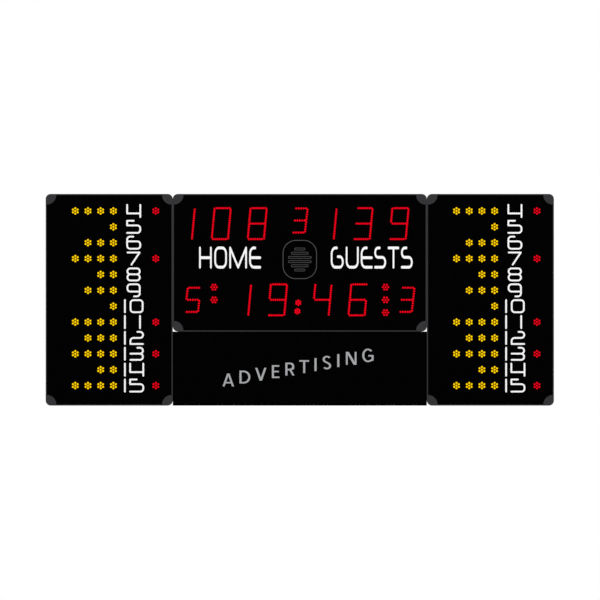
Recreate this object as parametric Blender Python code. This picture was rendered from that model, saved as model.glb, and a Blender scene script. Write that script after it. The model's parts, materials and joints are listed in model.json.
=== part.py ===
"""Wall-hung LED scoreboard for ball games: a centre cabinet, two side cabinets and an advertising board.

The front faces -Y, the wall is the plane Y = 0 and +Z is up. The origin is the middle of the upper
wall rail's back face. Each cabinet is a folded tray, which stays on the wall, and a shallow front
hinged to it, which carries the black face, the lamp modules and the corner caps.
"""

import math

import bmesh
import bpy
from mathutils import Matrix, Vector

# Cabinets, seen from the front
MAIN_WIDTH = 1.920
MAIN_HEIGHT = 1.040
SIDE_WIDTH = 0.960
SIDE_HEIGHT = 1.600
CABINET_GAP = 0.001
CORNER_RADIUS = 0.038
TOP_ABOVE_RAIL = 0.100

# Depths, counted from the wall
WALL_SPACE = 0.015
TRAY_DEPTH = 0.041
DOOR_SPACE = 0.004
DOOR_DEPTH = 0.028
CAP_PROUD = 0.002

# Sheet metal
SHEET = 0.002
SKIRT = 0.0025
LIP_WIDTH = 0.008
FLANGE_WIDTH = 0.020
TRAY_FLANGE = 0.014
TRAY_INSET = 0.008
FACE_THICKNESS = 0.003
COVER_WIDTH = 0.015
COVER_SHEET = 0.0012

# Fits
FIT = 0.0003
WINDOW_FIT = 0.0005

# Corner caps, quarter discs about the inner corner of the lip
CAP_RADIUS = 0.0722
CAP_STEP_SETBACK = 0.001
CAP_STEPS = 12

# Lamps: every cluster and every digit bar is a row or ring of these
LAMP_DIAMETER = 0.0195
LAMP_PROUD = 0.002
CLUSTER_RING = 0.0203

# Digits of 250 mm, seven lamps to a bar
BIG_ROW_LENGTH = 0.1135
BIG_HALF_WIDTH = 0.0613
BIG_HALF_HEIGHT = 0.117
BIG_SLANT = 0.092
BIG_ROW_SHIFT = 0.0035
BIG_LEFT_RISE = 0.0055
BIG_RIGHT_DROP = 0.0027
BIG_WINDOW = (0.168, 0.262)

# Digits of 200 mm, five lamps to a bar
SMALL_ROW_LENGTH = 0.089
SMALL_HALF_WIDTH = 0.0489
SMALL_HALF_HEIGHT = 0.0914
SMALL_SLANT = 0.111
SMALL_WINDOW = (0.144, 0.212)

# Colon and time-out lamps
COLON_PITCH = 0.065
COLON_SLANT_SHIFT = 0.0034
COLON_RING = 0.0163
COLON_WINDOW = (0.064, 0.138)
TIME_OUT_PITCH = 0.096
TIME_OUT_COUNT = 3
TIME_OUT_MARGIN = 0.007

# Module bodies behind the face
MODULE_FLANGE_WIDTH = 0.004
MODULE_FLANGE = 0.002
MODULE_DEPTH = 0.010
MODULE_SETBACK = 0.010

# Heights on the centre cabinet, down from its top
SCORE_Z = 0.2243
PERIOD_Z = 0.2004
TIMER_Z = 0.8003
COLON_X = -0.0147
COLON_Z = 0.8541

# Gaps between windows on the centre cabinet, from its side to the middle. In a cabinet of another
# width they share out what the windows leave, in these proportions
HOME_SCORE_GAPS = (0.0104, 0.1040, 0.1040, 0.1656)
GUEST_SCORE_GAPS = (0.1255, 0.1040, 0.1040, 0.0505)
TIMER_GAPS = (0.0799, 0.0493, 0.0857, 0.1040, 0.0840)

# Horn and its grille
GRILLE_WIDTH = 0.257
GRILLE_HEIGHT = 0.293
GRILLE_RADIUS = 0.099
GRILLE_PLATE = 0.002
GRILLE_RIM_WIDTH = 0.0055
GRILLE_RIM = 0.001
GRILLE_Z = 0.4956
SLOT_PITCH = 0.0317
SLOT_HEIGHT = 0.011
SLOT_HALF_LENGTHS = (0.037, 0.062, 0.0845)
HORN_OPENING = 0.097
HORN_FLANGE_RADIUS = 0.110
HORN_FLANGE = 0.003
HORN_DEPTH = 0.038
HORN_MAGNET_RADIUS = 0.055

# Player lamps on a side cabinet, with the insets counted from its edges
PLAYER_ROWS = 12
TOP_ROW_INSET = 0.1284
BOTTOM_ROW_INSET = 0.1516
YELLOW_COLUMNS = 4
COLUMN_PITCH = 0.096
YELLOW_INSET = 0.2238
RED_INSET = 0.1276
STRIP_WIDTH = 0.076
STRIP_MARGIN = 0.040

# Advertising board and its two brackets
AD_DEPTH = 0.040
AD_UPSTAND = 0.007
BRACKET_WIDTH = 0.040
BRACKET_THICKNESS = 0.004
BRACKET_INSET = 0.260
BRACKET_FOOT_LIFT = 0.060
BRACKET_FOOT_HEIGHT = 0.040

# Hinges
HINGE_OFFSET = 0.004
KNUCKLE_RADIUS = 0.0035
PIN_RADIUS = 0.0015
BORE_RADIUS = 0.0018
LEAF_THICKNESS = 0.0015
TRAY_LEAF_WIDTH = 0.026
DOOR_LEAF_WIDTH = 0.012
LEAF_START = 0.0038
KNUCKLE_GAP = 0.0005
KNUCKLE_LENGTH = 0.260
HINGE_SETBACK = 0.050
KNUCKLE_SIDES = 8

# Wall rails and the hangers on the trays
RAIL_INSET = 0.121
RAIL_THICKNESS = 0.003
RAIL_HEIGHT = 0.080
CHANNEL_WIDTH = 0.0055
HOOK_THICKNESS = 0.0025
HOOK_HEIGHT = 0.014
HANGER_LIP = 0.003
HANGER_SHELF = 0.003
HANGER_SETBACK = 0.180
SCREW_HOLE_RADIUS = 0.0045
SCREW_HOLE_INSET = 0.300
SCREW_HOLE_COUNT = 6
SCREW_HOLE_Z = -0.020
SPACER_HEIGHT = 0.040
SPACER_SHEET = 0.002
SPACER_Z = -0.850

# Electrical pieces
SUPPLY_SIZE = (0.215, 0.030, 0.115)
SUPPLY_X = 0.300
SUPPLY_LIFT = 0.160
SUPPLY_TERMINALS = 0.014
BOARD_SIZE = (0.240, 0.0016, 0.150)
BOARD_X = -0.300
BOARD_Z = 0.560
BOARD_STAND = 0.008
INLET_X = 0.300
INLET_SIZE = (0.060, 0.028, 0.022)
INLET_FLANGE = (0.068, 0.034, 0.002)
SOCKET_X = -0.013
SOCKET_SIZE = (0.0245, 0.0165, 0.016)
SOCKET_PIN_LENGTH = 0.013
SOCKET_LINE_PIN = (0.002, 0.004)
SOCKET_LINE_X = 0.007
SOCKET_LINE_Y = -0.002
SOCKET_EARTH_Y = 0.004
ROCKER_X = 0.0175
ROCKER_APERTURE = (0.0136, 0.0215, 0.012)
ROCKER_WIDTH = 0.0124
ROCKER_LENGTH = 0.0186
ROCKER_PROUD = 0.0042
ROCKER_DIP = 0.0022
ROCKER_ROOT = 0.0050
ROCKER_END_ROOT = 0.0035
ROCKER_TAPER = 0.0007
ROCKER_PIVOT_DEPTH = 0.0015
ROCKER_TILT = math.radians(12)
TRUNNION_RADIUS = 0.0012
TRUNNION_BORE = 0.0016
TRUNNION_LENGTH = 0.0015

CORNER_STEPS = 6
ROUND_SIDES = 16
SHARP_ANGLE = math.radians(50)

# Planes that several pieces share
BACK_Y = -WALL_SPACE
RIM_Y = BACK_Y - TRAY_DEPTH
DOOR_BACK_Y = RIM_Y - DOOR_SPACE
FRONT_Y = DOOR_BACK_Y - DOOR_DEPTH
FACE_Y = FRONT_Y + SHEET + FIT
FACE_BACK_Y = FACE_Y + FACE_THICKNESS
TOP_Z = TOP_ABOVE_RAIL
SIDE_X = (MAIN_WIDTH + SIDE_WIDTH) / 2 + CABINET_GAP
COVER_END = CORNER_RADIUS + FIT
AD_HEIGHT = SIDE_HEIGHT - MAIN_HEIGHT - CABINET_GAP
RAIL_LENGTH = 2 * SIDE_X + SIDE_WIDTH - 2 * RAIL_INSET
SCREW_HOLE_PITCH = (RAIL_LENGTH - 2 * SCREW_HOLE_INSET) / (SCREW_HOLE_COUNT - 1)
ROW_PITCH = (SIDE_HEIGHT - TOP_ROW_INSET - BOTTOM_ROW_INSET) / (PLAYER_ROWS - 1)


def material(name, color, roughness, metallic=0.0):
    made = bpy.data.materials.new(name)
    made.use_nodes = True
    shader = made.node_tree.nodes["Principled BSDF"]
    shader.inputs["Base Color"].default_value = (*color, 1.0)
    shader.inputs["Roughness"].default_value = roughness
    shader.inputs["Metallic"].default_value = metallic
    return made


def mesh_from(name, bm):
    bmesh.ops.recalc_face_normals(bm, faces=bm.faces)
    mesh = bpy.data.meshes.new(name)
    bm.to_mesh(mesh)
    bm.free()
    return mesh


def piece(name, mesh, finish, location, parent=None, turn=(0, 0, 0)):
    """One sub-part at a world location. The parents are unturned empties on the joint axes."""
    mesh.shade_smooth()
    mesh.set_sharp_from_angle(angle=SHARP_ANGLE)
    made = bpy.data.objects.new(name, mesh)
    bpy.context.collection.objects.link(made)
    made.location = Vector(location) - (parent.location if parent else Vector())
    made.rotation_euler = turn
    made.parent = parent
    if not mesh.materials:
        mesh.materials.append(finish)
    return made


def axis_empty(name, location):
    made = bpy.data.objects.new(name, None)
    bpy.context.collection.objects.link(made)
    made.location = location
    return made


def add_box(bm, low, high):
    low, high = Vector(low), Vector(high)
    size = Matrix.Diagonal((*(high - low), 1.0))
    bmesh.ops.create_cube(bm, size=1.0, matrix=Matrix.Translation((low + high) / 2) @ size)


def add_prism(bm, points, sweep):
    """A flat outline of 3-D points, extruded along a vector."""
    face = bm.faces.new([bm.verts.new(point) for point in points])
    grown = bmesh.ops.extrude_face_region(bm, geom=[face])["geom"]
    moved = [item for item in grown if isinstance(item, bmesh.types.BMVert)]
    bmesh.ops.translate(bm, verts=moved, vec=sweep)


def add_plate(bm, outline, front_y, back_y):
    """A plate facing -Y from an outline of (x, z) points."""
    add_prism(bm, [(x, front_y, z) for x, z in outline], (0, back_y - front_y, 0))


def add_profile(bm, outline, left_x, right_x):
    """A bar along X from a section of (y, z) points."""
    add_prism(bm, [(left_x, y, z) for y, z in outline], (right_x - left_x, 0, 0))


def add_rod(bm, radius, left_x, right_x, sides):
    middle = Matrix.Translation(((left_x + right_x) / 2, 0, 0))
    turned = middle @ Matrix.Rotation(math.pi / 2, 4, "Y") @ Matrix.Rotation(math.pi / sides, 4, "Z")
    bmesh.ops.create_cone(
        bm, cap_ends=True, segments=sides, radius1=radius, radius2=radius, depth=right_x - left_x, matrix=turned
    )


def arc(center, radius, start, end, steps):
    """Points (u, v) on an arc, with the angles in degrees."""
    angles = [math.radians(start + (end - start) * step / steps) for step in range(steps + 1)]
    return [(center[0] + radius * math.cos(angle), center[1] + radius * math.sin(angle)) for angle in angles]


def circle(center, radius, sides):
    return arc(center, radius, 0, 360 - 360 / sides, sides - 1)


def rounded(width, height, radius, steps=CORNER_STEPS):
    """A rectangle about the origin with round corners, or with sharp ones at radius 0."""
    points = []
    for index, (side, end) in enumerate(((1, 1), (-1, 1), (-1, -1), (1, -1))):
        center = (side * (width / 2 - radius), end * (height / 2 - radius))
        if radius:
            points += arc(center, radius, 90 * index, 90 * index + 90, steps)
        else:
            points.append(center)
    return points


def add_loops(bm, loops, ring):
    """Walls between matching loops, each one (outline of (x, z) points, y).

    A ring's last loop joins its first. Otherwise both end loops are filled.
    """
    rows = [[bm.verts.new((x, y, z)) for x, z in outline] for outline, y in loops]
    for first, second in zip(rows, rows[1:] + rows[:1] if ring else rows[1:]):
        for index in range(len(first)):
            bm.faces.new((first[index - 1], first[index], second[index], second[index - 1]))
    if not ring:
        bm.faces.new(rows[0])
        bm.faces.new(rows[-1])


def shell(name, width, height, radius, stations, ring):
    """Folded sheet round a cabinet outline. A station is (inset from the outline, y)."""
    bm = bmesh.new()
    loops = []
    for inset, y in stations:
        corner = max(radius - inset, SHEET / 2) if radius else 0
        loops.append((rounded(width - 2 * inset, height - 2 * inset, corner), y))
    add_loops(bm, loops, ring)
    return mesh_from(name, bm)


def combined(name, base, changes):
    """The base mesh after Boolean changes, each one (operation, mesh)."""
    body = bpy.data.objects.new(name, base)
    bpy.context.collection.objects.link(body)
    tools = []
    for operation, tool_mesh in changes:
        tool = bpy.data.objects.new(name + "_tool", tool_mesh)
        bpy.context.collection.objects.link(tool)
        tools.append(tool)
        step = body.modifiers.new(operation, "BOOLEAN")
        step.operation = operation
        step.solver = "EXACT"
        step.object = tool
    bpy.context.view_layer.update()
    graph = bpy.context.evaluated_depsgraph_get()
    mesh = bpy.data.meshes.new_from_object(body.evaluated_get(graph))
    mesh.name = name
    for helper in [body, *tools]:
        bpy.data.objects.remove(helper, do_unlink=True)
    return mesh


# Lamp shapes


def bar_outline(center, length, direction):
    """A long hexagon with mitred ends, round one row of lamps."""
    half_width = LAMP_DIAMETER / 2
    along = Vector(direction).normalized()
    across = Vector((-along.y, along.x))
    corners = (
        (length / 2, 0),
        (length / 2 - half_width, half_width),
        (half_width - length / 2, half_width),
        (-length / 2, 0),
        (half_width - length / 2, -half_width),
        (length / 2 - half_width, -half_width),
    )
    return [tuple(Vector(center) + u * along + v * across) for u, v in corners]


def hexagon(center, ring, first_angle):
    """The hexagon round seven lamps: one in the middle and six on a ring."""
    reach = ring + LAMP_DIAMETER / 2 / math.cos(math.pi / 6)
    return arc(center, reach, first_angle, first_angle + 300, 5)


def digit_bars(half_width, half_height, slant, length, row_shift=0.0, left_rise=0.0, right_drop=0.0):
    """The seven bars of a digit that leans to the right."""
    bars = []
    for level in (1, 0, -1):
        z = level * half_height
        bars.append(bar_outline((slant * z + level * row_shift, z), length, (1, 0)))
    for side, shift in ((-1, left_rise), (1, -right_drop)):
        for level in (1, -1):
            z = level * half_height / 2 + shift
            bars.append(bar_outline((side * half_width + slant * z, z), length, (slant, 1)))
    return bars


def side_by_side(start, end, widths, gaps):
    """Middles of windows set out from start to end, with the gaps sharing out what the windows leave."""
    direction = 1 if end > start else -1
    stretch = (abs(end - start) - sum(widths)) / sum(gaps)
    middles = []
    edge = start
    for width, gap in zip(widths, gaps):
        edge += direction * (gap * stretch + width)
        middles.append(edge - direction * width / 2)
    return middles


def module(name, window, marks):
    """A lamp module: lamps proud of an insert that fills its window, a flange behind the face and a body.

    Its origin is the middle of the insert's front. window is (width, height) of the opening in the face.
    """
    half_x, half_z = window[0] / 2 - WINDOW_FIT, window[1] / 2 - WINDOW_FIT
    flange_y = FACE_THICKNESS + FIT
    insert = bmesh.new()
    add_box(insert, (-half_x, 0, -half_z), (half_x, flange_y + MODULE_FLANGE / 2, half_z))
    flange = bmesh.new()
    reach_x, reach_z = half_x + MODULE_FLANGE_WIDTH, half_z + MODULE_FLANGE_WIDTH
    add_box(flange, (-reach_x, flange_y, -reach_z), (reach_x, flange_y + MODULE_FLANGE, reach_z))
    body = bmesh.new()
    back_x, back_z = half_x - MODULE_SETBACK, half_z - MODULE_SETBACK
    add_box(body, (-back_x, flange_y + SHEET / 2, -back_z), (back_x, flange_y + MODULE_FLANGE + MODULE_DEPTH, back_z))
    lamps = bmesh.new()
    for outline in marks:
        add_plate(lamps, outline, -LAMP_PROUD, FACE_THICKNESS / 2)
    changes = [("UNION", mesh_from(name, part)) for part in (flange, body, lamps)]
    return combined(name, mesh_from(name, insert), changes)


def lamp_board(name, columns):
    """The lamp strips of a side cabinet on their carrier. Origin: front of the face, left edge, top."""
    first_z = -TOP_ROW_INSET
    last_z = first_z - (PLAYER_ROWS - 1) * ROW_PITCH
    half = STRIP_WIDTH / 2 - WINDOW_FIT
    flange_y = FACE_THICKNESS + FIT
    carrier = bmesh.new()
    edge = half + MODULE_FLANGE_WIDTH
    end = STRIP_MARGIN - WINDOW_FIT + MODULE_FLANGE_WIDTH
    add_box(
        carrier,
        (columns[0] - edge, flange_y, last_z - end),
        (columns[-1] + edge, flange_y + MODULE_FLANGE, first_z + end),
    )
    strips = bmesh.new()
    lamps = bmesh.new()
    for x in columns:
        end = STRIP_MARGIN - WINDOW_FIT
        add_box(strips, (x - half, 0, last_z - end), (x + half, flange_y + MODULE_FLANGE / 2, first_z + end))
        for row in range(PLAYER_ROWS):
            outline = hexagon((x, first_z - row * ROW_PITCH), CLUSTER_RING, 90)
            add_plate(lamps, outline, -LAMP_PROUD, FACE_THICKNESS / 2)
    changes = [("UNION", mesh_from(name, part)) for part in (strips, lamps)]
    return combined(name, mesh_from(name, carrier), changes)


# Sheet-metal pieces


def tray(name, width, height, additions=(), cuts=()):
    """The tub that stays on the wall, open to the front, with its rim folded inwards."""
    stations = [
        (SHEET, BACK_Y - SHEET),
        (SHEET, RIM_Y + SHEET),
        (TRAY_FLANGE, RIM_Y + SHEET),
        (TRAY_FLANGE, RIM_Y),
        (0, RIM_Y),
        (0, BACK_Y),
    ]
    inset = 2 * TRAY_INSET
    base = shell(name, width - inset, height - inset, CORNER_RADIUS - TRAY_INSET, stations, False)
    changes = [("UNION", mesh) for mesh in additions] + [("DIFFERENCE", mesh) for mesh in cuts]
    return combined(name, base, changes) if changes else base


def front_frame(name, width, height):
    """The rim of a hinged front: lip, skirt and a flange folded inwards at the back."""
    stations = [
        (0, FRONT_Y),
        (LIP_WIDTH, FRONT_Y),
        (LIP_WIDTH, FRONT_Y + SHEET),
        (SKIRT, FRONT_Y + SHEET),
        (SKIRT, DOOR_BACK_Y - SHEET),
        (FLANGE_WIDTH, DOOR_BACK_Y - SHEET),
        (FLANGE_WIDTH, DOOR_BACK_Y),
        (0, DOOR_BACK_Y),
    ]
    return shell(name, width, height, CORNER_RADIUS, stations, True)


def face_panel(name, width, height, windows, round_holes=()):
    """The black sheet behind the lip. Windows are (x, z, width, height) about the cabinet's middle."""
    edge = SKIRT + WINDOW_FIT
    plate = bmesh.new()
    corner = max(CORNER_RADIUS - edge, SHEET / 2)
    add_plate(plate, rounded(width - 2 * edge, height - 2 * edge, corner), FACE_Y, FACE_BACK_Y)
    cuts = bmesh.new()
    for x, z, wide, high in windows:
        add_box(
            cuts,
            (x - wide / 2, FACE_Y - SHEET, z - high / 2),
            (x + wide / 2, FACE_BACK_Y + SHEET, z + high / 2),
        )
    for x, z, radius in round_holes:
        add_plate(cuts, circle((x, z), radius, ROUND_SIDES), FACE_Y - SHEET, FACE_BACK_Y + SHEET)
    return combined(name, mesh_from(name, plate), [("DIFFERENCE", mesh_from(name, cuts))])


def cap_outline(inset, radius):
    """A quarter disc in a cabinet's top right corner, as (x, z) from the sharp corner.

    inset is how far its straight edges lie inside the cabinet's outline.
    """
    rounding = max(CORNER_RADIUS - inset, SHEET / 2)
    middle = -inset - rounding
    disc_middle = (-LIP_WIDTH, -LIP_WIDTH)
    meets = math.degrees(math.asin((inset - LIP_WIDTH) / radius))
    outer_corner = arc((middle, middle), rounding, 90, 0, CORNER_STEPS)
    return outer_corner + arc(disc_middle, radius, 270 - meets, 180 + meets, CAP_STEPS)


def corner_cap(name):
    """A plate over the lip, with a step that drops inside the lip and rests on the face."""
    plate = bmesh.new()
    add_plate(plate, cap_outline(0, CAP_RADIUS), -CAP_PROUD, -FIT)
    step = bmesh.new()
    outline = cap_outline(LIP_WIDTH + FIT, CAP_RADIUS - CAP_STEP_SETBACK)
    add_plate(step, outline, -CAP_PROUD / 2, FACE_Y - FRONT_Y - FIT)
    return combined(name, mesh_from(name, plate), [("UNION", mesh_from(name, step))])


def hinge_leaf(name, length, knuckles, owned, plate_low, plate_high, tongue_low, tongue_high):
    """A leaf with every second knuckle. Its axis is X through the origin.

    The plate and the tongues are boxes given by their (y, z) corners.
    """
    pitch = length / knuckles
    plate = bmesh.new()
    add_box(plate, (-length / 2, *plate_low), (length / 2, *plate_high))
    tongues, rods = bmesh.new(), bmesh.new()
    for index in range(owned, knuckles, 2):
        left = -length / 2 + index * pitch + KNUCKLE_GAP / 2
        right = left + pitch - KNUCKLE_GAP
        add_box(tongues, (left, *tongue_low), (right, *tongue_high))
        add_rod(rods, KNUCKLE_RADIUS, left, right, KNUCKLE_SIDES)
    bore = bmesh.new()
    add_rod(bore, BORE_RADIUS, -length, length, KNUCKLE_SIDES)
    changes = [
        ("UNION", mesh_from(name, tongues)),
        ("UNION", mesh_from(name, rods)),
        ("DIFFERENCE", mesh_from(name, bore)),
    ]
    return combined(name, mesh_from(name, plate), changes)


def hinge(side, edge_length, center, turn, door, metal):
    """Tray leaf, door leaf and pin of one continuous hinge."""
    length = edge_length - 2 * (CORNER_RADIUS + HINGE_SETBACK)
    knuckles = 2 * round(length / KNUCKLE_LENGTH / 2) + 1
    tray_z = FIT - HINGE_OFFSET
    door_y = FIT - DOOR_SPACE
    tray_leaf = hinge_leaf(
        f"{side}_tray_hinge_leaf",
        length,
        knuckles,
        0,
        (LEAF_START, tray_z),
        (LEAF_START + TRAY_LEAF_WIDTH, tray_z + LEAF_THICKNESS),
        (0, tray_z),
        (LEAF_START + SHEET, tray_z + LEAF_THICKNESS),
    )
    door_leaf = hinge_leaf(
        f"{side}_door_hinge_leaf",
        length,
        knuckles,
        1,
        (door_y, -LEAF_START - DOOR_LEAF_WIDTH),
        (door_y + LEAF_THICKNESS, -LEAF_START),
        (door_y, -LEAF_START - SHEET),
        (door_y + LEAF_THICKNESS, 0),
    )
    pin = bmesh.new()
    add_rod(pin, PIN_RADIUS, -length / 2, length / 2, KNUCKLE_SIDES)
    piece(f"{side}_tray_hinge_leaf", tray_leaf, metal, center, None, turn)
    piece(f"{side}_hinge_pin", mesh_from(f"{side}_hinge_pin", pin), metal, center, None, turn)
    piece(f"{side}_door_hinge_leaf", door_leaf, metal, center, door, turn)


def hanger(width):
    """The folded hook riveted on a tray's back, which drops into the upper rail's channel."""
    half = width / 2 - HANGER_SETBACK
    lip_front = -RAIL_THICKNESS - (CHANNEL_WIDTH + HANGER_LIP) / 2
    lip_back = lip_front + HANGER_LIP
    channel_z = RAIL_HEIGHT / 2
    shelf_z = channel_z + HOOK_HEIGHT + HANGER_SHELF
    bm = bmesh.new()
    section = [
        (BACK_Y - SHEET / 2, shelf_z),
        (lip_front, shelf_z),
        (lip_front, channel_z + FIT),
        (lip_back, channel_z + FIT),
        (lip_back, shelf_z + HANGER_SHELF),
        (BACK_Y - SHEET / 2, shelf_z + HANGER_SHELF),
    ]
    add_profile(bm, section, -half, half)
    return bm


# Start from an empty scene
for old in list(bpy.data.objects):
    bpy.data.objects.remove(old, do_unlink=True)

frame_grey = material("frame_grey", (0.040, 0.040, 0.042), 0.45)
cap_grey = material("cap_grey", (0.040, 0.040, 0.042), 0.55)
face_black = material("face_black", (0.004, 0.004, 0.004), 0.35)
lamp_black = material("lamp_black", (0.012, 0.004, 0.004), 0.25)
tray_metal = material("tray_metal", (0.42, 0.42, 0.43), 0.40, 1.0)
hinge_steel = material("hinge_steel", (0.50, 0.50, 0.50), 0.30, 1.0)
rail_metal = material("rail_metal", (0.55, 0.55, 0.56), 0.35, 1.0)
ad_black = material("ad_black", (0.004, 0.004, 0.004), 0.40)
board_green = material("board_green", (0.010, 0.090, 0.030), 0.40)
switch_black = material("switch_black", (0.010, 0.010, 0.010), 0.40)

# Cabinets: name, middle x, width, height
CABINETS = (
    ("main", 0.0, MAIN_WIDTH, MAIN_HEIGHT),
    ("left", -SIDE_X, SIDE_WIDTH, SIDE_HEIGHT),
    ("right", SIDE_X, SIDE_WIDTH, SIDE_HEIGHT),
)
hinge_inset = TRAY_INSET - HINGE_OFFSET
side_middle_z = TOP_Z - SIDE_HEIGHT / 2
outer_x = SIDE_X + SIDE_WIDTH / 2 - hinge_inset
doors = {
    "main": axis_empty("main_door_axis", (0, RIM_Y, TOP_Z - hinge_inset)),
    "left": axis_empty("left_door_axis", (-outer_x, RIM_Y, side_middle_z)),
    "right": axis_empty("right_door_axis", (outer_x, RIM_Y, side_middle_z)),
}
hinge("main", MAIN_WIDTH, doors["main"].location, (0, 0, 0), doors["main"], hinge_steel)
hinge("left", SIDE_HEIGHT, doors["left"].location, (0, -math.pi / 2, 0), doors["left"], hinge_steel)
hinge("right", SIDE_HEIGHT, doors["right"].location, (0, math.pi / 2, 0), doors["right"], hinge_steel)

# Trays, with their origins on the rail's height at each cabinet's middle
inlet_y = (BACK_Y + RIM_Y) / 2
inlet_x = -SIDE_X - SIDE_WIDTH / 2 + INLET_X
tray_bottom_z = TOP_Z - SIDE_HEIGHT + TRAY_INSET
for name, middle_x, width, height in CABINETS:
    middle_z = TOP_Z - height / 2
    hook = hanger(width)
    bmesh.ops.translate(hook, verts=hook.verts, vec=(0, 0, -middle_z))
    additions = [mesh_from(name, hook)]
    cuts = []
    if name == "main":
        covers = bmesh.new()
        inner_x = width / 2 - TRAY_INSET - SHEET / 2
        cover_y = RIM_Y + (SHEET - COVER_SHEET) / 2
        for side in (-1, 1):
            inner, outer = side * inner_x, side * (inner_x + COVER_WIDTH)
            add_box(
                covers,
                (min(inner, outer), cover_y, COVER_END - height / 2),
                (max(inner, outer), cover_y + COVER_SHEET, height / 2 - COVER_END),
            )
        additions.append(mesh_from(name, covers))
    if name == "left":
        opening = bmesh.new()
        half_x = INLET_SIZE[0] / 2 + WINDOW_FIT
        half_y = INLET_SIZE[1] / 2 + WINDOW_FIT
        add_box(
            opening,
            (inlet_x - middle_x - half_x, inlet_y - half_y, tray_bottom_z - middle_z - SHEET),
            (inlet_x - middle_x + half_x, inlet_y + half_y, tray_bottom_z - middle_z + 2 * SHEET),
        )
        cuts.append(mesh_from(name, opening))
    made = tray(f"{name}_tray", width, height, additions, cuts)
    piece(f"{name}_tray", made, tray_metal, (middle_x, 0, middle_z))

# Hinged fronts: frame, face and corner caps
time_out_window = (
    2 * (CLUSTER_RING + LAMP_DIAMETER / 2 / math.cos(math.pi / 6) + TIME_OUT_MARGIN),
    (TIME_OUT_COUNT - 1) * TIME_OUT_PITCH + 2 * (CLUSTER_RING + LAMP_DIAMETER / 2 + TIME_OUT_MARGIN),
)
big_width, small_width = BIG_WINDOW[0], SMALL_WINDOW[0]
main_modules = [
    ("period_digit", 0.0, PERIOD_Z, "small"),
    ("timer_colon", COLON_X, COLON_Z, "colon"),
]
# From each side of the cabinet to the middle: the score row above and the timer row below
for side, team, gaps, digits, pair in (
    (-1, "home", HOME_SCORE_GAPS, ("hundreds", "tens", "units"), ("minutes_tens", "minutes_units")),
    (1, "guest", GUEST_SCORE_GAPS, ("units", "tens", "hundreds"), ("seconds_units", "seconds_tens")),
):
    edge = side * MAIN_WIDTH / 2
    for x, label in zip(side_by_side(edge, side * small_width / 2, 3 * (big_width,), gaps), digits):
        main_modules.append((f"{team}_score_{label}", x, SCORE_Z, "big"))
    widths = (small_width, time_out_window[0], big_width, big_width)
    foul_x, time_out_x, *timer_x = side_by_side(edge, 0.0, widths, TIMER_GAPS)
    main_modules.append((f"{team}_fouls_digit", foul_x, TIMER_Z, "small"))
    main_modules.append((f"{team}_time_out_lamps", time_out_x, TIMER_Z, "time_out"))
    for x, label in zip(timer_x, pair):
        main_modules.append((f"timer_{label}", x, TIMER_Z, "big"))

big_bars = digit_bars(
    BIG_HALF_WIDTH, BIG_HALF_HEIGHT, BIG_SLANT, BIG_ROW_LENGTH, BIG_ROW_SHIFT, BIG_LEFT_RISE, BIG_RIGHT_DROP
)
small_bars = digit_bars(SMALL_HALF_WIDTH, SMALL_HALF_HEIGHT, SMALL_SLANT, SMALL_ROW_LENGTH)
colon_marks = [
    hexagon((side * COLON_SLANT_SHIFT, side * COLON_PITCH / 2), COLON_RING, 90) for side in (1, -1)
]
time_out_marks = [
    hexagon((0, (index - (TIME_OUT_COUNT - 1) / 2) * TIME_OUT_PITCH), CLUSTER_RING, 0)
    for index in range(TIME_OUT_COUNT)
]
module_kinds = {
    "big": (BIG_WINDOW, module("big_digit", BIG_WINDOW, big_bars)),
    "small": (SMALL_WINDOW, module("small_digit", SMALL_WINDOW, small_bars)),
    "colon": (COLON_WINDOW, module("colon", COLON_WINDOW, colon_marks)),
    "time_out": (time_out_window, module("time_out", time_out_window, time_out_marks)),
}
for name, x, down, kind in main_modules:
    piece(name, module_kinds[kind][1], lamp_black, (x, FACE_Y, TOP_Z - down), doors["main"])

columns = [YELLOW_INSET + index * COLUMN_PITCH for index in range(YELLOW_COLUMNS)] + [SIDE_WIDTH - RED_INSET]
strip_height = (PLAYER_ROWS - 1) * ROW_PITCH + 2 * STRIP_MARGIN
strip_z = SIDE_HEIGHT / 2 - TOP_ROW_INSET - (PLAYER_ROWS - 1) * ROW_PITCH / 2
windows = {
    "main": [
        (x, MAIN_HEIGHT / 2 - down, *module_kinds[kind][0]) for name, x, down, kind in main_modules
    ],
    "left": [(x - SIDE_WIDTH / 2, strip_z, STRIP_WIDTH, strip_height) for x in columns],
}
windows["right"] = windows["left"]
holes = {"main": [(0, MAIN_HEIGHT / 2 - GRILLE_Z, HORN_OPENING)], "left": [], "right": []}
cap_mesh = corner_cap("corner_cap")
for name, middle_x, width, height in CABINETS:
    middle = Vector((middle_x, 0, TOP_Z - height / 2))
    door = doors[name]
    piece(f"{name}_front_frame", front_frame(f"{name}_front_frame", width, height), frame_grey, middle, door)
    face = face_panel(f"{name}_face", width, height, windows[name], holes[name])
    piece(f"{name}_face", face, face_black, middle, door)
    corners = ("top_right", "bottom_right", "bottom_left", "top_left")
    for index, corner in enumerate(corners):
        side = 1 if "right" in corner else -1
        end = 1 if "top" in corner else -1
        place = middle + Vector((side * width / 2, FRONT_Y, end * height / 2))
        piece(f"{name}_cap_{corner}", cap_mesh, cap_grey, place, door, (0, index * math.pi / 2, 0))

side_board = lamp_board("player_lamps", columns)
for name, middle_x, width, height in CABINETS[1:]:
    place = (middle_x - width / 2, FACE_Y, TOP_Z)
    piece(f"{name}_player_lamps", side_board, lamp_black, place, doors[name])

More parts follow.
